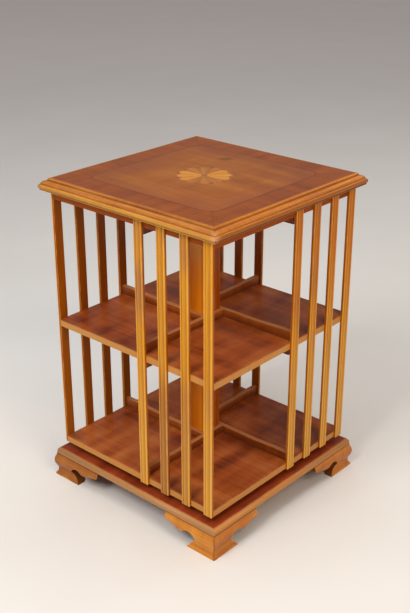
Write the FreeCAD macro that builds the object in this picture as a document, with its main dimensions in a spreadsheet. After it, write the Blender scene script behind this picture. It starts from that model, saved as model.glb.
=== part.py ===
import FreeCAD, Part
import Sketcher
import math
import os
import re

# Revolving bookcase: a slatted square case that turns on a spindle and a ball
# thrust bearing above a fixed base with ogee bracket feet.
#
# Units are millimetres. Z is up, the floor is Z = 0 and the case turns about Z.
# The case repeats four times round that axis, so every repeated piece is drawn
# once on the front side, which faces -Y, and then turned by quarter turns.

os.makedirs("parts", exist_ok=True)
doc = FreeCAD.newDocument("RevolvingBookcase")

SIDES = ("front", "right", "back", "left")

# Driving dimensions
SIZES = {
    "overall_height": 705,
    "overall_width": 480,
    # Fixed base, whose feet are placed from the edge of the base board
    "base_inset": 2.5,
    "base_thick": 16,
    "base_round": 11,
    "foot_height": 55,
    "foot_setback": 16.5,
    "foot_top_proud": 1,
    "foot_top_band": 3.5,
    "foot_bend_proud": 1.7,
    "foot_bend_height": 23,
    "foot_bulge_radius": 27.1,
    "foot_waist_radius": 15.6,
    "toe_proud": 4.3,
    "toe_band": 3,
    "toe_inset": 71.5,
    "ankle_inset": 48.5,
    "ankle_height": 26,
    "scoop_radius": 20.7,
    "cusp_inset": 83.5,
    "cusp_height": 31,
    "wing_inset": 133.5,
    "wing_height": 42,
    "wing_radius": 104,
    "block_width": 40,
    "block_lift": 4,
    # Bearing and spindle
    "bearing_gap": 13,
    "race_thick": 4,
    "race_inner": 26,
    "race_outer": 62,
    "race_pitch": 52,
    "race_screw_pitch": 36,
    "ball_size": 8,
    "ball_count": 12,
    "ball_clearance": 0.1,
    "cage_thick": 1.6,
    "cage_width": 13,
    "cage_clearance": 0.15,
    "spindle_size": 16,
    "spindle_length": 350,
    "spindle_chamfer": 1.5,
    "running_clearance": 0.05,
    "flange_radius": 36,
    "flange_thick": 5,
    "flange_screw_pitch": 26,
    "bush_height": 25,
    "upper_bush_drop": 4,
    "collar_radius": 12,
    "collar_thick": 2,
    "collar_gap": 0.3,
    # Boards of the case
    "shelf_inset": 20.5,
    "board_thick": 16,
    "lower_tier": 273.5,
    "sub_top_thick": 20,
    "top_thick": 25,
    "column_width": 48,
    "column_wall": 9,
    # Slats
    "slat_proud": 5.5,
    "slat_thick": 6.5,
    "slat_width": 21,
    "slat_count": 4,
    "last_slat_offset": 16,
    "reed_inset": 5,
    "reed_half": 1.2,
    "reed_radius": 1.25,
    # Rails on the shelves and bearers under the boards
    "rail_thick": 10,
    "rail_height": 18,
    "rail_rise": 3,
    "rail_sweep": 70,
    "rail_level": 25,
    "bearer_height": 18,
    "bearer_stop": 6,
    # Top moulding, from the lip inwards
    "moulding_width": 21,
    "lip_height": 10,
    "lip_nose": 3.2,
    "quirk_step": 0.8,
    "ovolo_width": 8.6,
    "ovolo_height": 8.4,
    "ovolo_radius": 9.2,
    "bead_quirk": 2.2,
    "bead_width": 3.3,
    "bead_height": 4.4,
    "bead_radius": 3.2,
    "bead_riser": 1.4,
    # Veneered top
    "veneer_thick": 1,
    "string_inset": 48,
    "string_width": 2,
    "string_round": 30,
    "patera_radius": 60,
    "petal_count": 12,
    "petal_gap_angle": 0.7,
    "petal_root": 7,
    "petal_shoulder": 48,
    "petal_round": 12.2,
    # Countersunk wood screws
    "head_radius": 4,
    "head_depth": 2.2,
    "shank_radius": 1.9,
    "screw_tip": 4,
    "screw_length": 16,
    "top_screw_length": 32,
    "top_screw_inset": 35,
    "slot_width": 1,
    "slot_depth": 1.1,
}

# Sizes that follow from the driving ones
RULES = {
    "base_top": "foot_height + base_thick",
    "case_bottom": "base_top + bearing_gap",
    "bottom_top": "case_bottom + board_thick",
    "mid_bottom": "bottom_top + lower_tier",
    "mid_top": "mid_bottom + board_thick",
    "moulding_bottom": "overall_height - top_thick",
    "sub_bottom": "moulding_bottom - sub_top_thick",
    "core_thick": "top_thick - veneer_thick",
    "core_top": "overall_height - veneer_thick",
    "lip_half": "overall_width / 2",
    "base_half": "lip_half - base_inset",
    "foot_back": "base_half - foot_setback",
    "foot_top": "base_half + foot_top_proud",
    "foot_bend": "base_half + foot_bend_proud",
    "toe_reach": "base_half + toe_proud",
    "toe_start": "base_half - toe_inset",
    "ankle_start": "base_half - ankle_inset",
    "cusp_start": "base_half - cusp_inset",
    "wing_start": "base_half - wing_inset",
    "shelf_half": "lip_half - shelf_inset",
    "panel_half": "lip_half - moulding_width",
    "column_half": "column_width / 2",
    "column_bore": "column_half - column_wall",
    "slat_face": "shelf_half + slat_proud",
    "slat_back": "slat_face - slat_thick",
    "last_slat_edge": "column_half + last_slat_offset",
    "slat_pitch": "(shelf_half - last_slat_edge) / (slat_count - 1)",
    "slat_length": "moulding_bottom - case_bottom",
    "spindle_radius": "spindle_size / 2",
    "spindle_foot": "foot_height - flange_thick",
    "upper_bush_top": "spindle_foot + spindle_length - upper_bush_drop",
    "ball_radius": "ball_size / 2",
    "ball_height": "base_top + bearing_gap / 2",
    "race_gap_half": "bearing_gap / 2 - race_thick",
    "groove_radius": "ball_radius + ball_clearance",
    "groove_half": "sqrt(groove_radius ^ 2 - race_gap_half ^ 2)",
    "petal_half_angle": "(180 / petal_count - petal_gap_angle) * 1 deg",
    "sweep_radius": "((rail_sweep / 2) ^ 2 + (rail_rise / 2) ^ 2) / rail_rise",
    "lip_radius": "((lip_height / 2) ^ 2 + lip_nose ^ 2) / (2 * lip_nose)",
    "lip_back": "lip_half - lip_nose",
    "ovolo_back": "lip_back - quirk_step - ovolo_width",
    "ovolo_top": "lip_height + quirk_step + ovolo_height",
    "bead_outer": "ovolo_back - bead_quirk",
    "bead_inner": "bead_outer - bead_width",
    "string_half": "panel_half - string_inset",
    "string_inner": "string_half - string_width",
    "top_screw_pitch": "panel_half - top_screw_inset",
}

sheet = doc.addObject("Spreadsheet::Sheet", "Sizes")
for row, (alias, size) in enumerate(SIZES.items(), start=1):
    sheet.set(f"A{row}", alias)
    sheet.set(f"B{row}", str(size))
    sheet.setAlias(f"B{row}", alias)
doc.recompute()

nodes = {}


# Reading and binding sizes

def rule(text):
    """Spell a size rule out in spreadsheet aliases."""
    def spelled(word):
        name = word.group(0)
        if name in SIZES:
            return f"Sizes.{name}"
        if name in RULES:
            return f"({rule(RULES[name])})"
        return name
    return re.sub(r"[a-z_]+", spelled, str(text))


def measure(text):
    """Present value of a size rule."""
    value = sheet.evalExpression(rule(text))
    return float(getattr(value, "Value", value))


def bind(item, prop, text):
    """Tie one property of an object to a size rule."""
    item.setExpression(prop, rule(text))


def turned(across, along, quarter):
    """Rules of a plan position after some quarter turns about Z."""
    places = (
        (across, along),
        (f"-({along})", across),
        (f"-({across})", f"-({along})"),
        (along, f"-({across})"),
    )
    return places[quarter % 4]


def keep(item, label):
    """Register an object as a node of the assembly."""
    item.Label = label
    nodes[label] = item
    return item


# Sketches

def new_sketch(body, name, plane, shift=None):
    """Sketch on one of the body's own origin planes, moved by bound offsets."""
    sketch = body.newObject("Sketcher::SketchObject", f"{body.Name}_{name}")
    support = next(f for f in body.Origin.OriginFeatures if f.Role == plane)
    sketch.AttachmentSupport = [(support, "")]
    sketch.MapMode = "FlatFace"
    for axis, text in (shift or {}).items():
        bind(sketch, f"AttachmentOffset.Base.{axis}", text)
    return sketch


def drive(sketch, kind, where, text):
    """Add one dimension whose value follows a size rule."""
    index = sketch.addConstraint(Sketcher.Constraint(kind, *where, measure(text)))
    sketch.setExpression(f"Constraints[{index}]", rule(text))


def arc_between(start, finish, radius, clockwise):
    """Shorter arc from one point to another, which runs counter-clockwise."""
    if clockwise:
        start, finish = finish, start
    chord = finish - start
    rise = math.sqrt(radius ** 2 - (chord.Length / 2) ** 2)
    normal = FreeCAD.Vector(-chord.y, chord.x, 0) * (rise / chord.Length)
    centre = (start + finish) * 0.5 + normal
    first = math.atan2(start.y - centre.y, start.x - centre.x)
    last = math.atan2(finish.y - centre.y, finish.x - centre.x)
    if last < first:
        last += 2 * math.pi
    circle = Part.Circle(centre, FreeCAD.Vector(0, 0, 1), radius)
    return Part.ArcOfCircle(circle, first, last)


def outline(sketch, corners):
    """Closed profile through the corners, whose places follow size rules.

    A corner is (across, up), or (across, up, "cw" or "ccw", radius) where an
    arc of that radius runs from it to the next corner.
    """
    points = [FreeCAD.Vector(measure(c[0]), measure(c[1]), 0) for c in corners]
    edges = []
    for start, finish, corner in zip(points, points[1:] + points[:1], corners):
        if len(corner) == 2:
            index = sketch.addGeometry(Part.LineSegment(start, finish))
            edges.append((index, 1, 2))
            continue
        clockwise = corner[2] == "cw"
        arc = arc_between(start, finish, measure(corner[3]), clockwise)
        index = sketch.addGeometry(arc)
        edges.append((index, 2, 1) if clockwise else (index, 1, 2))
    for edge, following in zip(edges, edges[1:] + edges[:1]):
        joined = (edge[0], edge[2], following[0], following[1])
        sketch.addConstraint(Sketcher.Constraint("Coincident", *joined))
    for (index, start, _), corner in zip(edges, corners):
        drive(sketch, "DistanceX", (-1, 1, index, start), corner[0])
        drive(sketch, "DistanceY", (-1, 1, index, start), corner[1])
        if len(corner) > 2:
            drive(sketch, "Radius", (index,), corner[3])


def rectangle(sketch, left, low, right, high):
    """Closed rectangle between two corners."""
    outline(sketch, [(left, low), (right, low), (right, high), (left, high)])


def rounded_square(sketch, half, radius):
    """Closed square about the origin with rounded corners."""
    inset = f"{half} - ({radius})"
    corners = []
    for quarter in range(4):
        start = turned(inset, f"-({half})", quarter)
        finish = turned(half, f"-({inset})", quarter)
        corners.append((*start, "ccw", radius))
        corners.append(finish)
    outline(sketch, corners)


def circle(sketch, across, up, radius):
    """Full circle with a bound centre and radius."""
    centre = FreeCAD.Vector(measure(across), measure(up), 0)
    ring = Part.Circle(centre, FreeCAD.Vector(0, 0, 1), measure(radius))
    index = sketch.addGeometry(ring)
    drive(sketch, "DistanceX", (-1, 1, index, 3), across)
    drive(sketch, "DistanceY", (-1, 1, index, 3), up)
    drive(sketch, "Radius", (index,), radius)


# Bodies and their features

def new_body(label, quarter=0, lift="0"):
    """Body turned by quarter turns about Z and raised by a size rule."""
    body = doc.addObject("PartDesign::Body", label)
    body.AllowCompound = True
    turn = FreeCAD.Rotation(FreeCAD.Vector(0, 0, 1), 90 * quarter)
    body.Placement = FreeCAD.Placement(FreeCAD.Vector(0, 0, 0), turn)
    bind(body, "Placement.Base.z", lift)
    return body


def pad(body, sketch, length):
    """Extrude a profile along its plane's normal."""
    feature = body.newObject("PartDesign::Pad", f"{sketch.Name}_pad")
    feature.Profile = sketch
    bind(feature, "Length", length)
    return feature


def pocket(body, sketch, symmetric_width=None):
    """Cut a profile right through, or a given width about its plane."""
    feature = body.newObject("PartDesign::Pocket", f"{sketch.Name}_pocket")
    feature.Profile = sketch
    if symmetric_width is None:
        feature.Type = "ThroughAll"
    else:
        feature.SideType = "Symmetric"
        bind(feature, "Length", symmetric_width)
    return feature


def revolve(body, sketch, kind="Revolution"):
    """Turn a profile about the sketch's own upright axis, adding or cutting."""
    feature = body.newObject(f"PartDesign::{kind}", f"{sketch.Name}_turned")
    feature.Profile = sketch
    feature.ReferenceAxis = (sketch, ["V_Axis"])
    feature.Angle = 360
    return feature


def repeat(body, features, count):
    """Repeat features round the Z axis."""
    pattern = body.newObject("PartDesign::PolarPattern", f"{body.Name}_pattern")
    axis = next(f for f in body.Origin.OriginFeatures if f.Role == "Z_Axis")
    pattern.Originals = features
    pattern.Axis = (axis, [""])
    pattern.Angle = 360
    bind(pattern, "Occurrences", count)
    body.Tip = pattern
    return pattern


def block(name, size, corner, quarter=0):
    """Box from its low corner, turned by quarter turns about Z."""
    item = doc.addObject("Part::Box", name)
    turn = FreeCAD.Rotation(FreeCAD.Vector(0, 0, 1), 90 * quarter)
    item.Placement = FreeCAD.Placement(FreeCAD.Vector(0, 0, 0), turn)
    for prop, text in zip(("Length", "Width", "Height"), size):
        bind(item, prop, text)
    across, along = turned(corner[0], corner[1], quarter)
    for axis, text in zip("xyz", (across, along, corner[2])):
        bind(item, f"Placement.Base.{axis}", text)
    return item


def group(label, items):
    """Several alike solids kept in one node."""
    item = doc.addObject("Part::Compound", label)
    item.Links = items
    return keep(item, label)


# Screws and their holes share one profile

def screw_sketch(body, name, pitch, head_at, length, heads_up):
    """Half profile of a countersunk screw whose head face is at head_at."""
    away = "-1" if heads_up else "1"
    sketch = new_sketch(body, name, "XZ_Plane", {"x": pitch})

    def depth(text):
        return f"{head_at} + {away} * ({text})"

    outline(sketch, [
        ("0", depth("0")),
        ("head_radius", depth("0")),
        ("shank_radius", depth("head_depth")),
        ("shank_radius", depth(f"{length} - screw_tip")),
        ("0", depth(length)),
    ])
    return sketch


def screws(name, pitch, head_at, length, heads_up):
    """Four slotted countersunk screws on a pitch circle."""
    body = new_body(name)
    turned_screw = revolve(body, screw_sketch(body, "side", pitch, head_at, length, heads_up))
    slot = new_sketch(body, "slot", "XZ_Plane", {"x": pitch})
    away = "-" if heads_up else "+"
    rectangle(slot, "-head_radius", head_at, "head_radius", f"{head_at} {away} slot_depth")
    slot_cut = pocket(body, slot, "slot_width")
    repeat(body, [turned_screw, slot_cut], "4")
    return body


def screw_holes(body, name, pitch, head_at, length, heads_up):
    """Four holes that match a set of screws in a turned body."""
    sketch = screw_sketch(body, name, pitch, head_at, length, heads_up)
    hole = revolve(body, sketch, "Groove")
    return repeat(body, [hole], "4")


# Fixed base

def make_base_board():
    """Base board with an ovolo upper edge, bored for the spindle."""
    body = new_body("base_board", lift="foot_height")
    square = new_sketch(body, "square", "XY_Plane")
    rectangle(square, "-base_half", "-base_half", "base_half", "base_half")
    board = pad(body, square, "base_thick")
    doc.recompute()
    top = board.Shape.BoundBox.ZMax
    edges = [
        f"Edge{number}" for number, edge in enumerate(board.Shape.Edges, start=1)
        if edge.BoundBox.ZMin > top - 1e-6
    ]
    ovolo = body.newObject("PartDesign::Fillet", "base_board_ovolo")
    ovolo.Base = (board, edges)
    bind(ovolo, "Radius", "base_round")
    bore = new_sketch(body, "bore", "XY_Plane", {"z": "base_thick"})
    circle(bore, "0", "0", "spindle_radius")
    pocket(body, bore)
    doc.recompute()
    screw_holes(body, "race_holes", "race_screw_pitch", "base_thick + race_thick", "screw_length", True)
    screw_holes(body, "flange_holes", "flange_screw_pitch", "-flange_thick", "screw_length", False)
    return keep(body, "base_board")


def make_foot(label, quarter, hand):
    """One mitred half of an ogee bracket foot.

    The half lies on one side of the base, at its right end for hand 1 and at
    its left end for hand -1.
    """
    body = new_body(label, quarter)
    reach = "toe_reach + 4"
    start = "wing_start" if hand > 0 else f"-({reach})"
    ogee = new_sketch(body, "ogee", "YZ_Plane", {"z": start})
    outline(ogee, [
        ("-foot_back", "0"),
        ("-toe_reach", "0"),
        ("-toe_reach", "toe_band", "ccw", "foot_waist_radius"),
        ("-foot_bend", "foot_bend_height", "cw", "foot_bulge_radius"),
        ("-foot_top", "foot_height - foot_top_band"),
        ("-foot_top", "foot_height"),
        ("-foot_back", "foot_height"),
    ])
    pad(body, ogee, f"{reach} - wing_start")

    bend = ("cw", "ccw") if hand > 0 else ("ccw", "cw")
    shape = new_sketch(body, "shape", "XZ_Plane", {"z": reach})
    toe_slope = "(ankle_start - toe_start) / ankle_height"
    sweep_middle = "(cusp_start + wing_start) / 2"
    sweep_height = "(cusp_height + wing_height) / 2"
    corners = [
        ("wing_start - 1", "-1"),
        (f"toe_start - {toe_slope}", "-1"),
        ("ankle_start", "ankle_height", bend[1], "scoop_radius"),
        ("cusp_start", "cusp_height", bend[0], "wing_radius"),
        (sweep_middle, sweep_height, bend[1], "wing_radius"),
        ("wing_start", "wing_height"),
        ("wing_start - 1", "wing_height"),
    ]
    outline(shape, [(f"{hand} * ({c[0]})", *c[1:]) for c in corners])
    pocket(body, shape)

    mitre = new_sketch(body, "mitre", "XY_Plane", {"z": "foot_height"})
    outline(mitre, [
        (f"{hand} * (foot_back - 1)", "-(foot_back - 1)"),
        (f"{hand} * ({reach} + 1)", f"-({reach} + 1)"),
        (f"{hand} * ({reach} + 1)", "-(foot_back - 1)"),
    ])
    pocket(body, mitre)
    return keep(body, label)


def make_base():
    """Everything that stands still on the floor."""
    make_base_board()
    for quarter, side in enumerate(SIDES):
        make_foot(f"foot_{quarter + 1}_{side}", quarter, 1)
        corner = (quarter - 1) % 4
        make_foot(f"foot_{corner + 1}_{side}", quarter, -1)
    blocks = []
    for quarter in range(4):
        size = ("block_width", "block_width", "foot_height - block_lift")
        corner = ("foot_back - block_width", "-foot_back", "block_lift")
        blocks.append(block(f"foot_block_{quarter + 1}", size, corner, quarter))
    group("foot_blocks", blocks)

    spindle = new_body("spindle", lift="spindle_foot")
    rod = new_sketch(spindle, "rod", "XZ_Plane")
    outline(rod, [
        ("0", "0"),
        ("spindle_radius", "0"),
        ("spindle_radius", "spindle_length - spindle_chamfer"),
        ("spindle_radius - spindle_chamfer", "spindle_length"),
        ("0", "spindle_length"),
    ])
    revolve(spindle, rod)
    keep(spindle, "spindle")

    flange = new_body("spindle_flange", lift="spindle_foot")
    disc = new_sketch(flange, "disc", "XY_Plane")
    circle(disc, "0", "0", "flange_radius")
    circle(disc, "0", "0", "spindle_radius")
    pad(flange, disc, "flange_thick")
    screw_holes(flange, "holes", "flange_screw_pitch", "0", "screw_length", False)
    keep(flange, "spindle_flange")

    collar = new_body("retaining_collar", lift="upper_bush_top + collar_gap")
    ring = new_sketch(collar, "ring", "XY_Plane")
    circle(ring, "0", "0", "collar_radius")
    circle(ring, "0", "0", "spindle_radius")
    pad(collar, ring, "collar_thick")
    keep(collar, "retaining_collar")


# Ball thrust bearing

def make_race(label, lift, groove_up):
    """Steel ring with a ball groove on one face and four countersunk holes."""
    body = new_body(label, lift=lift)
    ring = new_sketch(body, "ring", "XZ_Plane")
    inner_lip = "race_pitch - groove_half"
    outer_lip = "race_pitch + groove_half"
    if groove_up:
        corners = [
            ("race_inner", "0"),
            ("race_outer", "0"),
            ("race_outer", "race_thick"),
            (outer_lip, "race_thick", "cw", "groove_radius"),
            (inner_lip, "race_thick"),
            ("race_inner", "race_thick"),
        ]
    else:
        corners = [
            ("race_inner", "0"),
            (inner_lip, "0", "cw", "groove_radius"),
            (outer_lip, "0"),
            ("race_outer", "0"),
            ("race_outer", "race_thick"),
            ("race_inner", "race_thick"),
        ]
    outline(ring, corners)
    revolve(body, ring)
    face = "race_thick" if groove_up else "0"
    screw_holes(body, "holes", "race_screw_pitch", face, "screw_length", groove_up)
    return keep(body, label)


def make_bearing():
    """Two races, the balls and the cage that spaces them."""
    make_race("lower_race", "base_top", True)
    make_race("upper_race", "case_bottom - race_thick", False)

    balls = new_body("bearing_balls", lift="ball_height")
    half_disc = new_sketch(balls, "half_disc", "XZ_Plane", {"x": "race_pitch"})
    outline(half_disc, [
        ("0", "-ball_radius", "ccw", "ball_radius"),
        ("ball_radius", "0", "ccw", "ball_radius"),
        ("0", "ball_radius"),
    ])
    repeat(balls, [revolve(balls, half_disc)], "ball_count")
    keep(balls, "bearing_balls")

    cage = new_body("ball_cage", lift="ball_height - cage_thick / 2")
    ring = new_sketch(cage, "ring", "XY_Plane")
    circle(ring, "0", "0", "race_pitch + cage_width / 2")
    circle(ring, "0", "0", "race_pitch - cage_width / 2")
    pad(cage, ring, "cage_thick")
    window = new_sketch(cage, "window", "XY_Plane", {"z": "cage_thick"})
    circle(window, "race_pitch", "0", "ball_radius + cage_clearance")
    repeat(cage, [pocket(cage, window)], "ball_count")
    keep(cage, "ball_cage")

    group("base_screws", [
        screws("race_screws", "race_screw_pitch", "base_top + race_thick", "screw_length", True),
        screws("flange_screws", "flange_screw_pitch", "spindle_foot", "screw_length", False),
    ])


# Boards, column and slats of the case

def slat_edges(number):
    """Left and right edge of one slat on the front side, counted inwards."""
    right = f"shelf_half - {number} * slat_pitch"
    return f"{right} - slat_width", right


def make_shelf(label, lift, thick, through_column=True):
    """Square board, housed for the slats and open for the column."""
    body = new_body(label, lift=lift)
    square = new_sketch(body, "square", "XY_Plane")
    rectangle(square, "-shelf_half", "-shelf_half", "shelf_half", "shelf_half")
    pad(body, square, thick)
    if through_column:
        hole = new_sketch(body, "column_hole", "XY_Plane", {"z": thick})
        rectangle(hole, "-column_half", "-column_half", "column_half", "column_half")
        pocket(body, hole)
    housings = new_sketch(body, "housings", "XY_Plane", {"z": thick})
    for number in range(SIZES["slat_count"]):
        left, right = slat_edges(number)
        outer = "1" if number == 0 else "0"
        rectangle(housings, left, "-(shelf_half + 1)", f"{right} + {outer}", "-slat_back")
    repeat(body, [pocket(body, housings)], "4")
    return keep(body, label)


def make_slat(quarter, number):
    """Slat with two reeding grooves on its outer face."""
    body = new_body(f"slat_{SIDES[quarter]}_{number + 1}", quarter, "case_bottom")
    section = new_sketch(body, "section", "XY_Plane")
    left, right = slat_edges(number)

    def reed(edge, inset):
        middle = f"{edge} + {inset}"
        return [
            (f"{middle} - reed_half", "-slat_face", "cw", "reed_radius"),
            (f"{middle} + reed_half", "-slat_face"),
        ]

    outline(section, [
        (left, "-slat_face"),
        *reed(left, "reed_inset"),
        *reed(left, "slat_width - reed_inset"),
        (right, "-slat_face"),
        (right, "-slat_back"),
        (left, "-slat_back"),
    ])
    pad(body, section, "slat_length")
    return keep(body, body.Name)


def make_rail(label, quarter, lift):
    """Low book stop beside the column, swept up towards its outer end."""
    body = new_body(label, quarter, lift)
    side = new_sketch(body, "side", "YZ_Plane", {"z": "column_half"})
    level = "-(slat_back - rail_level)"
    outline(side, [
        ("-slat_back", "0"),
        ("column_half", "0"),
        ("column_half", "rail_height"),
        (f"{level} + rail_sweep", "rail_height", "cw", "sweep_radius"),
        (f"{level} + rail_sweep / 2", "rail_height + rail_rise / 2", "ccw", "sweep_radius"),
        (level, "rail_height + rail_rise"),
        ("-slat_back", "rail_height + rail_rise"),
    ])
    pad(body, side, "rail_thick")
    return keep(body, label)


def make_case():
    """Everything that turns with the case below the veneered top."""
    make_shelf("bottom_shelf", "case_bottom", "board_thick")
    make_shelf("mid_shelf", "mid_bottom", "board_thick")
    make_shelf("sub_top", "sub_bottom", "sub_top_thick", through_column=False)
    bottom_shelf = nodes["bottom_shelf"]
    screw_holes(bottom_shelf, "race_holes", "race_screw_pitch", "-race_thick", "screw_length", False)
    sub_top = nodes["sub_top"]
    screw_holes(sub_top, "top_holes", "top_screw_pitch", "0", "top_screw_length", False)

    boards = []
    bearers = []
    for quarter, side in enumerate(SIDES):
        size = ("column_width - column_wall", "column_wall", "sub_bottom - case_bottom")
        corner = ("-column_half", "-column_half", "case_bottom")
        boards.append(block(f"column_board_{side}", size, corner, quarter))
        size = ("rail_thick", "slat_back - bearer_stop + column_half", "bearer_height")
        for tier, board in (("mid", "mid_bottom"), ("top", "sub_bottom")):
            corner = ("column_half", "-(slat_back - bearer_stop)", f"{board} - bearer_height")
            bearers.append(block(f"bearer_{tier}_{side}", size, corner, quarter))
        make_rail(f"lower_rail_{side}", quarter, "bottom_top")
        make_rail(f"upper_rail_{side}", quarter, "mid_top")
        for number in range(SIZES["slat_count"]):
            make_slat(quarter, number)
    group("column", boards)
    group("shelf_bearers", bearers)

    bushes = []
    for name, lift in (
        ("lower_bush", "case_bottom"),
        ("upper_bush", "upper_bush_top - bush_height"),
    ):
        bush = new_body(name, lift=lift)
        plan = new_sketch(bush, "plan", "XY_Plane")
        rectangle(plan, "-column_bore", "-column_bore", "column_bore", "column_bore")
        circle(plan, "0", "0", "spindle_radius + running_clearance")
        pad(bush, plan, "bush_height")
        bushes.append(bush)
    group("spindle_bushes", bushes)

    group("case_screws", [
        screws("upper_race_screws", "race_screw_pitch", "case_bottom - race_thick",
               "screw_length", False),
        screws("top_screws", "top_screw_pitch", "sub_bottom", "top_screw_length", False),
    ])


# Veneered and moulded top

def make_moulding(quarter, side):
    """Edge moulding: bull-nosed lip, ovolo and bead, mitred at both ends."""
    body = new_body(f"top_moulding_{side}", quarter, "moulding_bottom")
    section = new_sketch(body, "section", "YZ_Plane", {"z": "-lip_half"})
    outline(section, [
        ("-panel_half", "0"),
        ("-lip_back", "0", "cw", "lip_radius"),
        ("-lip_back", "lip_height"),
        ("-(lip_back - quirk_step)", "lip_height"),
        ("-(lip_back - quirk_step)", "lip_height + quirk_step", "cw", "ovolo_radius"),
        ("-ovolo_back", "ovolo_top"),
        ("-bead_outer", "ovolo_top"),
        ("-bead_outer", "top_thick - bead_height", "cw", "bead_radius"),
        ("-bead_inner", "top_thick"),
        ("-panel_half", "top_thick"),
    ])
    pad(body, section, "overall_width")
    mitres = new_sketch(body, "mitres", "XY_Plane", {"z": "top_thick"})
    for hand in (1, -1):
        outline(mitres, [
            (f"{hand} * (panel_half - 1)", "-(panel_half - 1)"),
            (f"{hand} * (lip_half + 1)", "-(lip_half + 1)"),
            (f"{hand} * (lip_half + 1)", "-(panel_half - 1)"),
        ])
    pocket(body, mitres)
    return keep(body, body.Name)


def make_crossband(quarter):
    """Mitred strip of crossbanding between the string and the moulding."""
    body = new_body(f"crossband_{SIDES[quarter]}", quarter, "core_top")
    plan = new_sketch(body, "plan", "XY_Plane")
    inset = "string_half - string_round"
    corner = "string_half - string_round * (1 - sqrt(0.5))"
    outline(plan, [
        ("-panel_half", "-panel_half"),
        ("panel_half", "-panel_half"),
        (corner, f"-({corner})", "cw", "string_round"),
        (inset, "-string_half"),
        (f"-({inset})", "-string_half", "cw", "string_round"),
        (f"-({corner})", f"-({corner})"),
    ])
    pad(body, plan, "veneer_thick")
    return body


def make_petal(number):
    """One scalloped petal of the patera."""
    body = new_body(f"petal_{number + 1}", lift="core_top")
    angle = (number + 0.5) * 360 / SIZES["petal_count"]
    body.Placement.Rotation = FreeCAD.Rotation(FreeCAD.Vector(0, 0, 1), angle)
    plan = new_sketch(body, "plan", "XY_Plane")
    across, up = "cos(petal_half_angle)", "sin(petal_half_angle)"
    outline(plan, [
        (f"petal_root * {across}", f"-petal_root * {up}"),
        (f"petal_shoulder * {across}", f"-petal_shoulder * {up}", "ccw", "petal_round"),
        (f"petal_shoulder * {across}", f"petal_shoulder * {up}"),
        (f"petal_root * {across}", f"petal_root * {up}"),
    ])
    pad(body, plan, "veneer_thick")
    return body


def make_top():
    """Panel, its mouldings and the inlaid veneers."""
    panel = new_body("top_panel", lift="moulding_bottom")
    square = new_sketch(panel, "square", "XY_Plane")
    rectangle(square, "-panel_half", "-panel_half", "panel_half", "panel_half")
    pad(panel, square, "core_thick")
    screw_holes(panel, "top_holes", "top_screw_pitch", "-sub_top_thick", "top_screw_length", False)
    keep(panel, "top_panel")
    for quarter, side in enumerate(SIDES):
        make_moulding(quarter, side)

    group("crossbanding", [make_crossband(quarter) for quarter in range(4)])
    string = new_body("string_inlay", lift="core_top")
    loop = new_sketch(string, "loop", "XY_Plane")
    rounded_square(loop, "string_half", "string_round")
    rounded_square(loop, "string_inner", "string_round - string_width")
    pad(string, loop, "veneer_thick")
    keep(string, "string_inlay")

    field = new_body("field_veneer", lift="core_top")
    plan = new_sketch(field, "plan", "XY_Plane")
    rounded_square(plan, "string_inner", "string_round - string_width")
    circle(plan, "0", "0", "patera_radius")
    pad(field, plan, "veneer_thick")
    keep(field, "field_veneer")

    # The bright petals face the front left and the back right corner
    petals = [make_petal(number) for number in range(SIZES["petal_count"])]
    quarter_of = [number * 4 // len(petals) for number in range(len(petals))]
    light = group("patera_light", [p for p, q in zip(petals, quarter_of) if q % 2 == 0])
    dark = group("patera_dark", [p for p, q in zip(petals, quarter_of) if q % 2 == 1])
    disc = doc.addObject("Part::Cylinder", "patera_disc")
    bind(disc, "Radius", "patera_radius")
    bind(disc, "Height", "veneer_thick")
    bind(disc, "Placement.Base.z", "core_top")
    every_petal = doc.addObject("Part::Compound", "every_petal")
    every_petal.Links = [light, dark]
    ground = doc.addObject("Part::Cut", "patera_ground")
    ground.Base = disc
    ground.Tool = every_petal
    keep(ground, "patera_ground")


make_base()
make_bearing()
make_case()
make_top()
doc.recompute()

for item in doc.Objects:
    if "Invalid" in item.State or "Error" in item.State:
        raise RuntimeError(f"{item.Name} did not build")
for label, item in nodes.items():
    if item.Shape.isNull() or not item.Shape.isValid() or not item.Shape.Solids:
        raise RuntimeError(f"{label} is not a sound solid")
    item.Shape.exportStep(f"parts/{label}.step")
print(f"{len(nodes)} nodes, {sum(len(item.Shape.Solids) for item in nodes.values())} solids")
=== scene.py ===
"""Looks of a slatted revolving bookcase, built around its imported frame.

The frame gives every piece its place and its body. The wooden pieces that show are made
again here with softened arrises, so that light runs along them, and each carries its own
run of grain. Sizes are in millimetres until a mesh is written, in metres.
"""

from __future__ import annotations

import enum
import logging
import math
from collections.abc import Callable, Mapping, Sequence
from dataclasses import dataclass, field, replace

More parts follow.
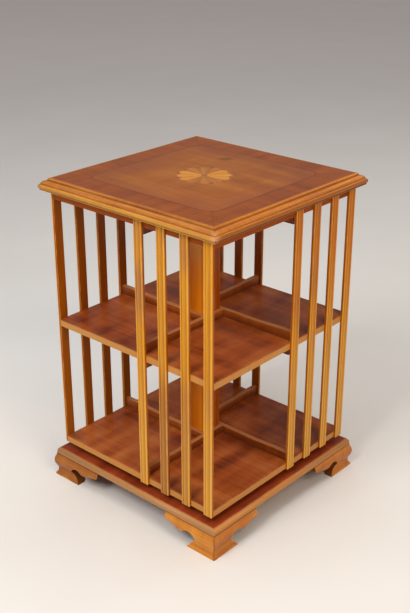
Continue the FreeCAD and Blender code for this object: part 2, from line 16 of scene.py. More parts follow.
import bpy
import numpy as np
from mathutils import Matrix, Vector

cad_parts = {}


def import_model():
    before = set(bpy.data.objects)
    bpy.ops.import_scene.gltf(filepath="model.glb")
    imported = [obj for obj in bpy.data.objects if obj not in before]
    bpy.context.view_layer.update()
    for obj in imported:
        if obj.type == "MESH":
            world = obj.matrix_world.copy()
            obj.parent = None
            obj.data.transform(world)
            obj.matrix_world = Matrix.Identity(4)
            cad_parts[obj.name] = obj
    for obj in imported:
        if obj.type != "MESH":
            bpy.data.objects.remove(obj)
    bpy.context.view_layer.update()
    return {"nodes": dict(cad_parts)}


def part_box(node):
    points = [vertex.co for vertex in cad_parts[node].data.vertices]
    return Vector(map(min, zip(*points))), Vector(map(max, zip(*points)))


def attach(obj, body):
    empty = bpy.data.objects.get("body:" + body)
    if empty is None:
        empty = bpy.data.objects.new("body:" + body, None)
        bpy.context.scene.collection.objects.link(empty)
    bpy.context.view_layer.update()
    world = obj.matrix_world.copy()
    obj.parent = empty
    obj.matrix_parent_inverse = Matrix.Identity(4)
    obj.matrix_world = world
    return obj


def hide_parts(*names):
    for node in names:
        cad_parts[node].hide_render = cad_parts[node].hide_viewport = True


LOG = logging.getLogger("bookcase")
MM = 0.001
GRAIN_SEED = 4171
LOG_REACH = 3000.0
SLAT_WIDTH = 21.0
COLUMN_HALF = 24.0
ARC_STEP = math.radians(11)
SHARPEST_MITRE = 0.3
WELD_DIGITS = 4
QUARTER = math.pi / 2

Array = np.ndarray
Code = str
Face = tuple[int, ...]
Row = tuple[Array, bool, float, float]


class Side(enum.Enum):
    """The four sides of the bookcase, as quarter turns from the front."""

    FRONT = 0
    RIGHT = 1
    BACK = 2
    LEFT = 3

    @property
    def word(self) -> str:
        """Name of the side as the frame's nodes spell it."""
        return self.name.lower()

    def turn(self, points: Array) -> Array:
        """Turn points about Z from the front side to this one.

        Args:
            points: Places on the front side, one row each.

        Returns:
            The turned places.
        """
        cos, sin = ((1, 0), (0, 1), (-1, 0), (0, -1))[self.value]
        x, y, z = points.T
        return np.column_stack((x * cos - y * sin, x * sin + y * cos, z))


class Run(enum.Enum):
    """Direction that the grain runs in on a piece drawn on the front side."""

    ACROSS = (0, 1, 2)
    ALONG = (1, 2, 0)
    UPRIGHT = (2, 0, 1)


class Body(enum.Enum):
    """Bodies of the frame that pieces ride on."""

    BASE = "base"
    CASE = "case"


# Outlines and meshes


@dataclass(frozen=True)
class Corner:
    """One corner of a closed outline.

    Attributes:
        x: First coordinate.
        y: Second coordinate.
        bow: Signed radius of the arc to the next corner, positive to turn left.
        soft: Radius that rounds the corner off.
        dirt: Dust and old polish along the arc or at the corner, and painted shade where it lies in a
            groove, quirk or recess, 0 to 1.
    """

    x: float
    y: float
    bow: float = 0.0
    soft: float = 0.0
    dirt: float = 0.0


def unit(vector: Array) -> Array:
    """Vector of the same direction and length one."""
    return vector / np.linalg.norm(vector)


def spun(vector: Array, angles: Array) -> Array:
    """Plane vector turned by each of several angles."""
    x, y = vector
    cos, sin = np.cos(angles), np.sin(angles)
    return np.column_stack((x * cos - y * sin, x * sin + y * cos))


def arc_centre(start: Array, end: Array, radius: float) -> Array:
    """Centre of the arc from one point to another.

    It lies on the left of the chord c, sqrt(r^2 - (c / 2)^2) from its middle, and on
    the right for a negative radius.

    Args:
        start: Where the arc starts.
        end: Where it ends.
        radius: Its signed radius.

    Returns:
        The centre.
    """
    chord = end - start
    half = float(np.linalg.norm(chord)) / 2
    left = unit(np.array((-chord[1], chord[0]))) * math.copysign(1, radius)
    return start + chord / 2 + left * math.sqrt(radius**2 - half**2)


@dataclass
class Outline:
    """Closed outline with the wood on its left as it is followed.

    Attributes:
        points: Places, one row each.
        curved: True where the run from a point to the next bends.
        wear: How rubbed each point is, 0 to 1.
        dirt: How dusty each point is, with painted shade in its recesses, 0 to 1.
    """

    points: Array
    curved: Array
    wear: Array
    dirt: Array

    @classmethod
    def trace(cls, corners: Sequence[Corner], band: float = 0.0, steps: int = 3) -> Outline:
        """Follow the corners, with arcs and rounded corners in place.

        Args:
            corners: The corners in order.
            band: Width of the rubbed band beside a rounded corner.
            steps: Runs in each rounded corner.

        Returns:
            The outline.
        """
        rows: list[Row] = []
        places = [np.array((c.x, c.y)) for c in corners]
        for index, corner in enumerate(corners):
            here, after = places[index], places[(index + 1) % len(places)]
            if corner.soft:
                rows += cls._rounded(places[index - 1], here, after, corner, band, steps)
            elif corner.bow:
                rows += cls._bowed(here, after, corner)
            else:
                rows.append((here, False, 0.0, corner.dirt))
        return cls(*(np.array(column) for column in zip(*rows)))

    @staticmethod
    def _rounded(
        before: Array, here: Array, after: Array, corner: Corner, band: float, steps: int
    ) -> list[Row]:
        """Points of the arc that meets both runs of a corner at a tangent.

        Args:
            before: The corner before it.
            here: The corner itself.
            after: The corner after it.
            corner: Its radius, and its dust and painted shade.
            band: Width of the rubbed band on each side.
            steps: Runs in the arc.

        Returns:
            Rows of place, bend, wear, and dust with painted shade.
        """
        come, go = unit(here - before), unit(after - here)
        turn = math.atan2(come[0] * go[1] - come[1] * go[0], float(come @ go))
        reach = corner.soft * math.tan(abs(turn) / 2)
        start = here - come * reach
        spoke = np.array((-come[1], come[0])) * math.copysign(corner.soft, turn)
        arc = start + spoke + spun(-spoke, np.linspace(0, turn, steps + 1))
        rows = [(place, index < steps, 1.0, corner.dirt) for index, place in enumerate(arc)]
        if band and np.linalg.norm(here - before) > 2 * (reach + band):
            rows.insert(0, (start - come * band, False, 0.0, 0.0))
        if band and np.linalg.norm(after - here) > 2 * (reach + band):
            rows.append((here + go * (reach + band), False, 0.0, 0.0))
        return rows

    @staticmethod
    def _bowed(here: Array, after: Array, corner: Corner) -> list[Row]:
        """Points of one arc between two corners, without the last.

        They are its centre plus its radius turned by equal angles.

        Args:
            here: Where the arc starts.
            after: Where it ends.
            corner: Its signed radius, and its dust and painted shade.

        Returns:
            Rows of place, bend, wear, and dust with painted shade.
        """
        centre = arc_centre(here, after, corner.bow)
        angle = 2 * math.asin(float(np.linalg.norm(after - here)) / 2 / abs(corner.bow))
        count = max(3, math.ceil(angle / ARC_STEP))
        angles = np.linspace(0, math.copysign(angle, corner.bow), count + 1)[:-1]
        return [(place, True, 0.0, corner.dirt) for place in centre + spun(here - centre, angles)]

    def inset(self, depth: float) -> Array:
        """Points moved into the wood along the mitre of their two runs.

        The mitre of unit normals a and b is (a + b) / (1 + a.b).

        Args:
            depth: How far every run moves.

        Returns:
            The moved points.
        """
        runs = np.roll(self.points, -1, axis=0) - self.points
        runs /= np.linalg.norm(runs, axis=1, keepdims=True)
        after = np.column_stack((runs[:, 1], -runs[:, 0]))
        before = np.roll(after, 1, axis=0)
        share = 1 + np.sum(before * after, axis=1, keepdims=True)
        return self.points - depth * (before + after) / np.maximum(share, SHARPEST_MITRE)


@dataclass
class Section:
    """How a plate's side goes from its lower face to its upper face.

    Attributes:
        inset: Distance in from the outline at each step.
        level: Height of each step.
        curved: True where the run from a step to the next bends.
        wear: How rubbed each step is, 0 to 1.
        edge: 1 on the side of the plate and 0 on its faces.
    """

    inset: Array
    level: Array
    curved: Array
    wear: Array
    edge: Array

    @classmethod
    def squared(cls, low: float, high: float, arris: float, band: float, steps: int = 3) -> Section:
        """Upright side with a quarter round of one radius at top and bottom.

        Wear ends one step in from each arris on the faces, and one step from it on a
        side that is high enough.

        Args:
            low: Level of the lower face.
            high: Level of the upper face.
            arris: Radius of the quarter rounds.
            band: Width of the rubbed band beside each arris.
            steps: Runs in each quarter round.

        Returns:
            The section.
        """
        turn = np.linspace(0, QUARTER, steps + 1)
        round_in, rise = arris * (1 - np.sin(turn)), arris * (1 - np.cos(turn))
        between = [low + arris + band, high - arris - band] if high - low > 2.5 * (arris + band) else []
        inset = np.concatenate((round_in, [0.0] * len(between), round_in[::-1]))
        level = np.concatenate((low + rise, between, high - rise[::-1]))
        wear = np.ones(len(level))
        wear[steps + 1:-steps - 1] = 0.0
        edge = np.ones(len(level))
        edge[[0, -1]] = 0.0
        return cls(
            np.concatenate(([inset[0] + band], inset, [inset[-1] + band])), np.pad(level, 1, "edge"),
            *(np.pad(column, 1) for column in (np.diff(inset) != 0, wear, edge)),
        )


@dataclass
class Shape:
    """Mesh in the making, in millimetres.

    Attributes:
        points: Places, one row each.
        faces: Corner numbers of each face.
        smooth: True for each face that is part of a curve.
        marks: Wear, dust with painted shade, and edge (1 on the side of a board) of each point, in columns.
        grain: Place of each point in its own piece of wood.
    """

    points: Array
    faces: list[Face]
    smooth: list[bool]
    marks: Array
    grain: Array = field(default_factory=lambda: np.zeros((0, 3)))

    def welded(self) -> Shape:
        """The shape with points that share a place made one, and flat faces dropped.

        Returns:
            The welded shape.
        """
        places = np.round(self.points, WELD_DIGITS)
        _, first, number = np.unique(places, axis=0, return_index=True, return_inverse=True)
        number = number.ravel()
        kept, smooth = [], []
        for face, curved in zip(self.faces, self.smooth):
            ring = [int(number[i]) for i in face]
            ring = [n for place, n in enumerate(ring) if n != ring[place - 1]]
            if len(set(ring)) > 2:
                kept.append(tuple(ring))
                smooth.append(curved)
        return Shape(self.points[first], kept, smooth, self.marks[first])

    def __add__(self, other: Shape) -> Shape:
        """Two shapes as one mesh.

        Args:
            other: Shape whose points come after this one's.

        Returns:
            The joined shape.
        """
        moved = [tuple(i + len(self.points) for i in face) for face in other.faces]
        names = ("points", "marks", "grain")
        joined = {name: np.concatenate((getattr(self, name), getattr(other, name))) for name in names}
        return Shape(faces=self.faces + moved, smooth=self.smooth + other.smooth, **joined)


def listed(faces: Array) -> list[Face]:
    """Faces as a mesh takes them."""
    return [tuple(face) for face in faces.tolist()]


def ring_faces(rings: int, count: int) -> Array:
    """Faces (k, i), (k, i + 1), (k + 1, i + 1), (k + 1, i) between closed rings of points.

    Args:
        rings: How many rings there are.
        count: Points in each ring.

    Returns:
        Four corner numbers of each face.
    """
    k, i = np.indices((rings - 1, count))
    here, after = k * count + i, k * count + (i + 1) % count
    return np.stack((here, after, after + count, here + count), axis=2).reshape(-1, 4)


def cap(outer: Array, inner: Array | None = None, upwards: bool = False) -> list[Face]:
    """Faces that close a ring, or the ground between a ring and a hole.

    With a hole of n corners the ring has n equal runs, and each run and the hole
    side that faces it bound one face. The hole is followed the other way round.

    Args:
        outer: Corner numbers of the ring.
        inner: Corner numbers of the hole, if there is one.
        upwards: True to face along the third axis.

    Returns:
        The faces.
    """
    faces = [outer]
    if inner is not None:
        sides = len(inner)
        run = len(outer) // sides
        closed = np.append(outer, outer[0])
        faces = [
            np.concatenate((closed[s * run:(s + 1) * run + 1], inner[[-(s + 1) % sides, -s % sides]]))
            for s in range(sides)
        ]
    return [tuple(int(n) for n in (face if upwards else face[::-1])) for face in faces]


def plate(outlines: Sequence[Outline], section: Section, order: tuple[int, int, int] = (0, 1, 2)) -> Shape:
    """Board whose outline is carried up its section, with any holes.

    Point (i, k) of the side is outline point i moved in by the section's inset k
    and raised to its level k. The first and the last ring are closed.

    Args:
        outlines: The outline and then its holes, each with wood on its left.
        section: The way from the lower face to the upper face.
        order: Where the two plan axes and the height come in x, y and z.

    Returns:
        The board.
    """
    points, marks, faces, smooth, lows, highs = [], [], [], [], [], []
    steps, start = len(section.level), 0
    for line in outlines:
        count = len(line.points)
        rings = np.array([line.inset(depth) for depth in section.inset])
        heights = np.broadcast_to(section.level[:, None, None], (steps, count, 1))
        points.append(np.concatenate((rings, heights), axis=2).reshape(-1, 3))
        wear = np.maximum(section.wear[:, None], line.wear * section.edge[:, None]).ravel()
        marks.append(np.column_stack((wear, np.tile(line.dirt, steps), np.repeat(section.edge, count))))
        faces += listed(ring_faces(steps, count) + start)
        smooth += (section.curved[:, None] | line.curved).ravel().tolist()
        lows.append(np.arange(count) + start)
        start += steps * count
        highs.append(lows[-1] + (steps - 1) * count)
    lids = cap(*lows) + cap(*highs, upwards=True)
    place = np.concatenate(points)[:, list(order)]
    return Shape(place, faces + lids, smooth + [False] * len(lids), np.concatenate(marks))


def mitred(profile: Outline, gap: float) -> Shape:
    """Moulding on the front side, cut at both ends on the mitre.

    Profile point (out, up) at share t of the way, from -1 to 1, lies at
    (t * (out - gap), -out, up), so that both ends lie on the mitre planes.

    Args:
        profile: Section of the moulding as (out, up), with wood on its left.
        gap: Half the width of the line left open at the mitre.

    Returns:
        The moulding.
    """
    clean_share, mitre_dirt = 0.985, 0.25
    shares = np.array((-1.0, -clean_share, clean_share, 1.0))
    rows, count = len(shares), len(profile.points)
    out, up = profile.points.T
    place = np.column_stack((np.outer(shares, out - gap).ravel(), np.tile(-out, rows), np.tile(up, rows)))
    first = np.arange(count)
    ends = cap(first, upwards=True) + cap(first + (rows - 1) * count)
    dirt = np.maximum(np.tile(profile.dirt, rows), mitre_dirt * np.repeat(np.abs(shares) == 1, count))
    return Shape(
        place, listed(ring_faces(rows, count)[:, [0, 3, 2, 1]]) + ends,
        np.tile(profile.curved, rows - 1).tolist() + [False] * len(ends),
        np.column_stack((np.tile(profile.wear, rows), dirt, np.ones(rows * count))),
    )


# Shader expressions


def srgb(code: Code) -> tuple[float, float, float, float]:
    """Linear red, green, blue and full alpha of a hexadecimal code.

    Args:
        code: Six hexadecimal digits of the colour as seen on screen.

    Returns:
        The colour as shaders take it.
    """
    parts = [int(code[i:i + 2], 16) / 255 for i in (0, 2, 4)]
    linear = [p / 12.92 if p <= 0.04045 else ((p + 0.055) / 1.055) ** 2.4 for p in parts]
    return (*linear, 1.0)


def arithmetic(operation: str, number_first: bool = False) -> Callable[[Value, Value | float], Value]:
    """Operator that adds a Math node.

    Args:
        operation: The node's operation.
        number_first: True where the other side comes before the value.

    Returns:
        The operator, to be used as a method of a value.
    """

    def applied(value: Value, other: Value | float) -> Value:
        """Result of the operation."""
        pair = (other, value) if number_first else (value, other)
        return value.graph.node("Math", {"operation": operation}, dict(enumerate(pair)))

    return applied


class Value:
    """Output of a shader node that arithmetic turns into more nodes."""

    __add__ = __radd__ = arithmetic("ADD")
    __sub__ = arithmetic("SUBTRACT")
    __rsub__ = arithmetic("SUBTRACT", number_first=True)
    __mul__ = __rmul__ = arithmetic("MULTIPLY")

    def __init__(self, graph: Graph, socket: bpy.types.NodeSocket) -> None:
        """Wrap a socket of a graph."""
        self.graph = graph
        self.socket = socket

    def math(self, operation: str, *others: Value | float) -> Value:
        """Result of a Math node on this value and any others."""
        return self.graph.node("Math", {"operation": operation}, dict(enumerate((self, *others))))

    def ramp(self, low: float, high: float) -> Value:
        """Smooth step from 0 at low to 1 at high."""
        inputs = {0: self, 1: low, 2: high, 3: 0.0, 4: 1.0}
        return self.graph.node("MapRange", {"interpolation_type": "SMOOTHSTEP"}, inputs)


class Graph:
    """Node tree of one material."""

    def __init__(self, name: str) -> None:
        """Start a material whose tree has only its output.

        Args:
            name: Name of the material.
        """
        self.material = bpy.data.materials.new(name)
        self.material.use_nodes = True
        self.tree = self.material.node_tree
        self.tree.nodes.clear()
        self.out = self.tree.nodes.new("ShaderNodeOutputMaterial")

    @classmethod
    def inside(cls, tree: bpy.types.NodeTree) -> Graph:
        """Graph that adds to a tree made elsewhere.

        Args:
            tree: The tree, with its own output.

        Returns:
            The graph, which has no material.
        """
        graph = cls.__new__(cls)
        graph.tree = tree
        return graph

    def node(
        self,
        kind: str,
        settings: Mapping[str, object] | None = None,
        inputs: Mapping[int | str, object] | None = None,
        output: int | str = 0,
    ) -> Value:
        """Add a node.

        Args:
            kind: Type of the node, without the words that all types start with.
            settings: Its settings; "stops" are the stops of a colour ramp.
            inputs: Numbers, colours or links of its sockets.
            output: The output that is used.

        Returns:
            That output.
        """
        made = self.tree.nodes.new(f"ShaderNode{kind}")
        for name, setting in (settings or {}).items():
            if name == "stops":
                self._set_stops(made.color_ramp.elements, setting)
            else:
                setattr(made, name, setting)
        for name, value in (inputs or {}).items():
            if isinstance(value, Value):
                self.tree.links.new(value.socket, made.inputs[name])
            else:
                made.inputs[name].default_value = srgb(value) if isinstance(value, str) else value
        return Value(self, made.outputs[output])

    @staticmethod
    def _set_stops(elements: bpy.types.bpy_prop_collection, stops: Mapping[float, Code]) -> None:
        """Write the stops of a colour ramp, which starts with two.

        Args:
            elements: The ramp's own stops.
            stops: The colour at each position.
        """
        while len(elements) < len(stops):
            elements.new(0.5)
        for element, (position, code) in zip(elements, stops.items()):
            element.position = position
            element.color = srgb(code)

    def attribute(self, name: str, output: str = "Fac") -> Value:
        """Attribute of the mesh."""
        settings = {"attribute_type": "GEOMETRY", "attribute_name": name}
        return self.node("Attribute", settings, output=output)

    def place(self) -> Value:
        """Place in the object, in metres."""
        return self.node("TexCoord", output="Object")

    def joined(self, x: Value | float, y: Value | float, z: Value | float) -> Value:
        """Vector of three parts."""
        return self.node("CombineXYZ", inputs={0: x, 1: y, 2: z})

    def parts(self, vector: Value) -> tuple[Value, Value, Value]:
        """The three parts of a vector."""
        split = self.node("SeparateXYZ", inputs={0: vector}).socket.node
        return tuple(Value(self, output) for output in split.outputs)

    def shifted(self, vector: Value, amount: Value) -> Value:
        """Vector moved alike in its second and third parts by a value."""
        shift = self.joined(0.0, amount, amount)
        return self.node("VectorMath", {"operation": "ADD"}, {0: vector, 1: shift})

    def seen(self) -> Value:
        """One for what the camera, a reflection or a clear piece shows, and none for light.

        Returns:
            The value, none or one.
        """
        camera, glossy, clear = (
            self.node("LightPath", output=f"Is {kind} Ray") for kind in ("Camera", "Glossy", "Transmission")
        )
        return camera.math("MAXIMUM", glossy).math("MAXIMUM", clear)

    def noise(
        self, vector: Value, scale: Sequence[float] | None, detail: float = 2.0, roughness: float = 0.5
    ) -> Value:
        """Noise about 0.5.

        Args:
            vector: Where it is read.
            scale: Patches in a metre in each part, or nothing where the vector counts them already.
            detail: Octaves of finer noise.
            roughness: Share of each octave.

        Returns:
            The noise.
        """
        if scale:
            vector = self.node("VectorMath", {"operation": "MULTIPLY"}, {0: vector, 1: scale})
        inputs = {"Vector": vector, "Scale": 1.0, "Detail": detail, "Roughness": roughness}
        return self.node("TexNoise", inputs=inputs)

    def ramp(self, value: Value, stops: Mapping[float, Code]) -> Value:
        """Colour of a value, given the colours at some values."""
        return self.node("ValToRGB", {"stops": stops}, {0: value})

    def mix(
        self, share: Value | float, first: Value | Code, second: Value | Code, how: str = "MIX"
    ) -> Value:
        """Blend of two colours.

        Args:
            share: Share of the second.
            first: Colour at 0.
            second: Colour at 1.
            how: Blend type.

        Returns:
            The blended colour.
        """
        settings = {"data_type": "RGBA", "blend_type": how, "clamp_factor": True}
        return self.node("Mix", settings, {0: share, 6: first, 7: second}, output=2)

    def tinted(self, share: Value, colour: Value, tint: Code) -> Value:
        """Colour that leans by a share to its product with a tint."""
        return self.mix(share, colour, self.mix(1.0, colour, tint, "MULTIPLY"))

    def bump(self, height: Value, strength: float, distance: float) -> Value:
        """Normal bent by a height in metres times a distance."""
        return self.node("Bump", inputs={"Strength": strength, "Distance": distance, "Height": height})

    def finish(self, inputs: Mapping[str, object]) -> bpy.types.Material:
        """Material whose tree ends in a Principled shader with these inputs.

        Args:
            inputs: Numbers, colours or links of the shader's sockets.

        Returns:
            The material.
        """
        shader = self.node("BsdfPrincipled", inputs=inputs)
        self.tree.links.new(shader.socket, self.out.inputs[0])
        return self.material


# Finishes

# Tones of the figure at which a wood shows its dark, middle and light colour.
DARK_TONE, MIDDLE_TONE, LIGHT_TONE = 0.3, 0.5, 0.7

# Patches in a metre of each noise, along the grain and both ways across it.
BEND_SCALE = (2.2, 7.0, 7.0)
FINE_SCALE = (7.0, 420.0, 420.0)
PORE_SCALE = (55.0, 1500.0, 1500.0)
RUB_SCALE = (35.0, 35.0, 35.0)
RIPPLE_SCALE = (18.0, 60.0, 60.0)
CLOUD_SCALE = (6.0, 9.0, 9.0)
POLISH_SCALE = (22.0, 22.0, 22.0)
SCRATCH_SCALE = (30.0, 900.0, 30.0)
SAW_SCALE = (700.0, 12.0, 12.0)
TARNISH_SCALE = (90.0, 90.0, 90.0)
SPECK_SCALE = (900.0, 900.0, 900.0)
FLOOR_SCALE = (3.0, 3.0, 3.0)


@dataclass(frozen=True)
class Timber:
    """A polished wood, stained, with pores, figure and rubbed arrises.

    Attributes:
        name: Name of the material.
        dark: Colour of its dark streaks.
        middle: Its general colour.
        light: Colour of its light streaks.
        side: Colour that the sides of a board lean to.
        side_share: How far they lean.
        rubbed: Colour of rubbed arrises.
        rub: How far rubbed arrises take their own colour.
        grime_and_shade: Colour of old polish and dust in corners, and of the painted shade there.
        gloss: Roughness where it is clean.
        streak: Width of a broad streak, in metres.
        mottle: Strength of the cross figure.
        coat: Weight of the polish.
        shine: Strength of the wood's own reflection.
        drift: How far the colour has drifted in slow patches.
        drifted: Colour that it has drifted to.
        patches: Patches in a metre along and across the grain.
        patchiness: Spread of the roughness.
        relief: Strength of the bump.
    """

    name: str
    dark: Code
    middle: Code
    light: Code
    side: Code = ""
    side_share: float = 0.0
    rubbed: Code = "D9A35C"
    rub: float = 0.6
    grime_and_shade: Code = "2A1208"
    gloss: float = 0.34
    streak: float = 0.03
    mottle: float = 0.35
    coat: float = 0.08
    shine: float = 0.16
    drift: float = 0.0
    drifted: Code = "B4764A"
    patches: tuple[float, float, float] = (5.0, 11.0, 11.0)
    patchiness: float = 0.18
    relief: float = 0.3

    def figure(self, graph: Graph, log: Value) -> tuple[Value, Value]:
        """Streaks and pores of a piece of this wood.

        Streaks are noise drawn out along the grain and bent by a slow noise, with
        a finer one and a cross figure added. Pores are a very fine noise cut off
        near its top.

        Args:
            graph: The material's graph.
            log: Place in the log, grain first, in metres.

        Returns:
            Tone from 0 to 1 and pores from 0 to 1.
        """
        wide = 1 / self.streak
        slow = graph.noise(log, BEND_SCALE, 1.0)
        bent = graph.shifted(log, (slow - 0.5) * (self.streak * 1.6))
        broad = graph.noise(bent, (wide * 0.06, wide, wide), 3.0, 0.55)
        fine = graph.noise(bent, FINE_SCALE, 3.0, 0.6)
        cross = graph.noise(bent, (wide * 0.9, wide * 0.22, wide * 0.22))
        tone = broad * 0.62 + fine * 0.3 + (cross - 0.5) * self.mottle + 0.04
        return tone, graph.noise(bent, PORE_SCALE, 1.0).ramp(0.6, 0.75)

    def colour(self, graph: Graph, tone: Value, pores: Value) -> Value:
        """Stained colour of a tone and its pores."""
        streaks = graph.ramp(tone, {DARK_TONE: self.dark, MIDDLE_TONE: self.middle, LIGHT_TONE: self.light})
        return graph.mix(pores * 0.45, streaks, self.dark)

    def clouded(self, graph: Graph, log: Value, colour: Value) -> Value:
        """Colour with the slow patches in which it has drifted.

        Args:
            graph: The material's graph.
            log: Place in the log, in metres.
            colour: Colour before it drifted.

        Returns:
            The drifted colour.
        """
        if not self.drift:
            return colour
        cloud = graph.noise(log, self.patches)
        return graph.mix(cloud.ramp(0.48, 0.72) * self.drift, colour, self.drifted)

    def stained_and_shaded(self, graph: Graph, colour: Value, tone: Value) -> Value:
        """Colour after what the makers or the years did to some of its faces; in some finishes this also
        holds painted light and shade.

        Args:
            graph: The material's graph.
            colour: Colour before these changes.
            tone: Tone of the figure.

        Returns:
            The changed colour.
        """
        if not self.side_share:
            return colour
        sided = graph.ramp(tone, {DARK_TONE: self.rubbed, LIGHT_TONE: self.side})
        return graph.mix(graph.attribute("edge") * self.side_share, colour, sided)

    def material(self) -> bpy.types.Material:
        """Material of a piece that carries grain, wear, dust with painted shade, and edge.

        Returns:
            The material.
        """
        graph = Graph(self.name)
        log = graph.attribute("grain", "Vector")
        tone, pores = self.figure(graph, log)
        colour = self.clouded(graph, log, self.colour(graph, tone, pores))
        colour = self.stained_and_shaded(graph, colour, tone)
        patchy = graph.noise(log, RUB_SCALE, 3.0)
        # Painted shade: dirt darkens the colour toward grime_and_shade, for dust and for shade in grooves,
        # quirks, recesses and joints.
        dirt = graph.attribute("dirt")
        colour = graph.mix(graph.attribute("wear") * patchy.ramp(0.35, 0.7) * self.rub, colour, self.rubbed)
        return graph.finish({
            "Base Color": graph.mix(dirt * 0.8, colour, self.grime_and_shade),
            "Roughness": (patchy - 0.5) * self.patchiness + self.gloss + dirt * 0.25,
            "Normal": graph.bump(fine_relief(graph, log, pores), self.relief, 0.0004),
            "Specular IOR Level": self.shine,
            "Coat Weight": self.coat,
            "Coat Roughness": 0.22,
        })


def fine_relief(graph: Graph, log: Value, pores: Value) -> Value:
    """Height from 0 to 1 of open pores and of a face polished by hand."""
    return graph.noise(log, RIPPLE_SCALE) * 0.12 - pores * 0.35


def off_middle(x: Value, y: Value) -> Value:
    """Distance from the middle of the bookcase to the nearest side's plane."""
    return x.math("ABSOLUTE").math("MAXIMUM", y.math("ABSOLUTE"))


def farther(wide: Value, deep: Value) -> Value:
    """One where the first of two places lies further from the middle."""
    return wide.math("ABSOLUTE").math("GREATER_THAN", deep.math("ABSOLUTE"))


@dataclass(frozen=True)
class FacedTimber(Timber):
    """Wood of the slats, drifted in patches on its outer face, and darker and redder behind it as painted
    shade.

    Attributes:
        inner: Tint of painted shade behind the outer face, on the slats' sides and backs.
        low: Colour that the lower half leans to.
        low_run: Levels between which that fades.
        top_shade: Tint of painted shade high up on the right side, under the moulding.
        top_shade_run: Levels between which that shade grows.
        greyed: Tint low on two slats of the front.
        greyed_top: Levels between which that fades.
        greyed_from: Places across the front between which it starts.
        greyed_to: Places across the front between which it ends.
        front: Places between which the front starts, seen from behind.
        outer: Distances from the middle between which the outer face starts.
    """

    inner: Code = "A87616"
    low: Code = "EAAE4C"
    low_run: tuple[float, float] = (0.12, 0.42)
    top_shade: Code = "F2D6BE"
    top_shade_run: tuple[float, float] = (0.34, 0.6)
    greyed: Code = "D3C4E6"
    greyed_top: tuple[float, float] = (0.3, 0.42)
    greyed_from: tuple[float, float] = (0.04, 0.07)
    greyed_to: tuple[float, float] = (0.09, 0.2)
    front: tuple[float, float] = (-0.2, -0.19)
    outer: tuple[float, float] = (0.2212, 0.2242)

    def outside(self, graph: Graph) -> Value:
        """One on the outer face and none behind it."""
        x, y, _ = graph.parts(graph.place())
        return off_middle(x, y).ramp(*self.outer)

    def clouded(self, graph: Graph, log: Value, colour: Value) -> Value:
        """Drifted colour on the outer face alone."""
        return graph.mix(self.outside(graph), colour, super().clouded(graph, log, colour))

    def stained_and_shaded(self, graph: Graph, colour: Value, tone: Value) -> Value:
        """Paler low down, redder high up on the right and darker behind the outer face, both as painted
        shade.

        Args:
            graph: The material's graph.
            colour: Colour before these changes.
            tone: Tone of the figure; not used.

        Returns:
            The changed colour.
        """
        x, y, z = graph.parts(graph.place())
        colour = graph.mix((1 - z.ramp(*self.low_run)) * 0.6, colour, self.low)
        grey = (1 - y.ramp(*self.front)) * x.ramp(*self.greyed_from) * (1 - x.ramp(*self.greyed_to))
        colour = graph.tinted(grey * (1 - z.ramp(*self.greyed_top)), colour, self.greyed)
        # Painted shade high up on the outer face of the right side.
        colour = graph.tinted(x.ramp(*self.outer) * z.ramp(*self.top_shade_run), colour, self.top_shade)
        # Painted shade on the sides and backs of the slats, inside the case.
        return graph.tinted((1 - self.outside(graph)) * 0.9, colour, self.inner)


@dataclass(frozen=True)
class LippedTimber(Timber):
    """Wood of the top moulding, with painted light on the lip and one corner paler.

    Attributes:
        lip_painted_light: Colour that the lip leans to: a painted highlight, or painted shade on the
            right-hand length.
        lip_top: Level of its top.
        lip_fade: How far below that the colour starts.
        pale_corner: Colour of the paler near corner.
        pale_corner_from: Places between which it starts, across and along.
    """

    lip_painted_light: Code = "D09A3C"
    lip_top: float = 0.6924
    lip_fade: float = 0.001
    pale_corner: Code = "DCA070"
    pale_corner_from: tuple[float, float] = (0.220, 0.239)

    def stained_and_shaded(self, graph: Graph, colour: Value, tone: Value) -> Value:
        """Painted light below the top of the lip, and a paler colour on the near corner.

        Args:
            graph: The material's graph.
            colour: Colour before these changes.
            tone: Tone of the figure.

        Returns:
            The changed colour.
        """
        x, y, z = graph.parts(graph.place())
        under = 1 - z.ramp(self.lip_top - self.lip_fade, self.lip_top)
        # Painted light on the lip: paler as a highlight, darker as shade on the right-hand length.
        colour = graph.mix(under * (tone * 1.2 - 0.1), colour, self.lip_painted_light)
        corner = x.ramp(*self.pale_corner_from) * (y * -1.0).ramp(*self.pale_corner_from)
        return graph.mix(corner * (tone + 0.1), colour, self.pale_corner)


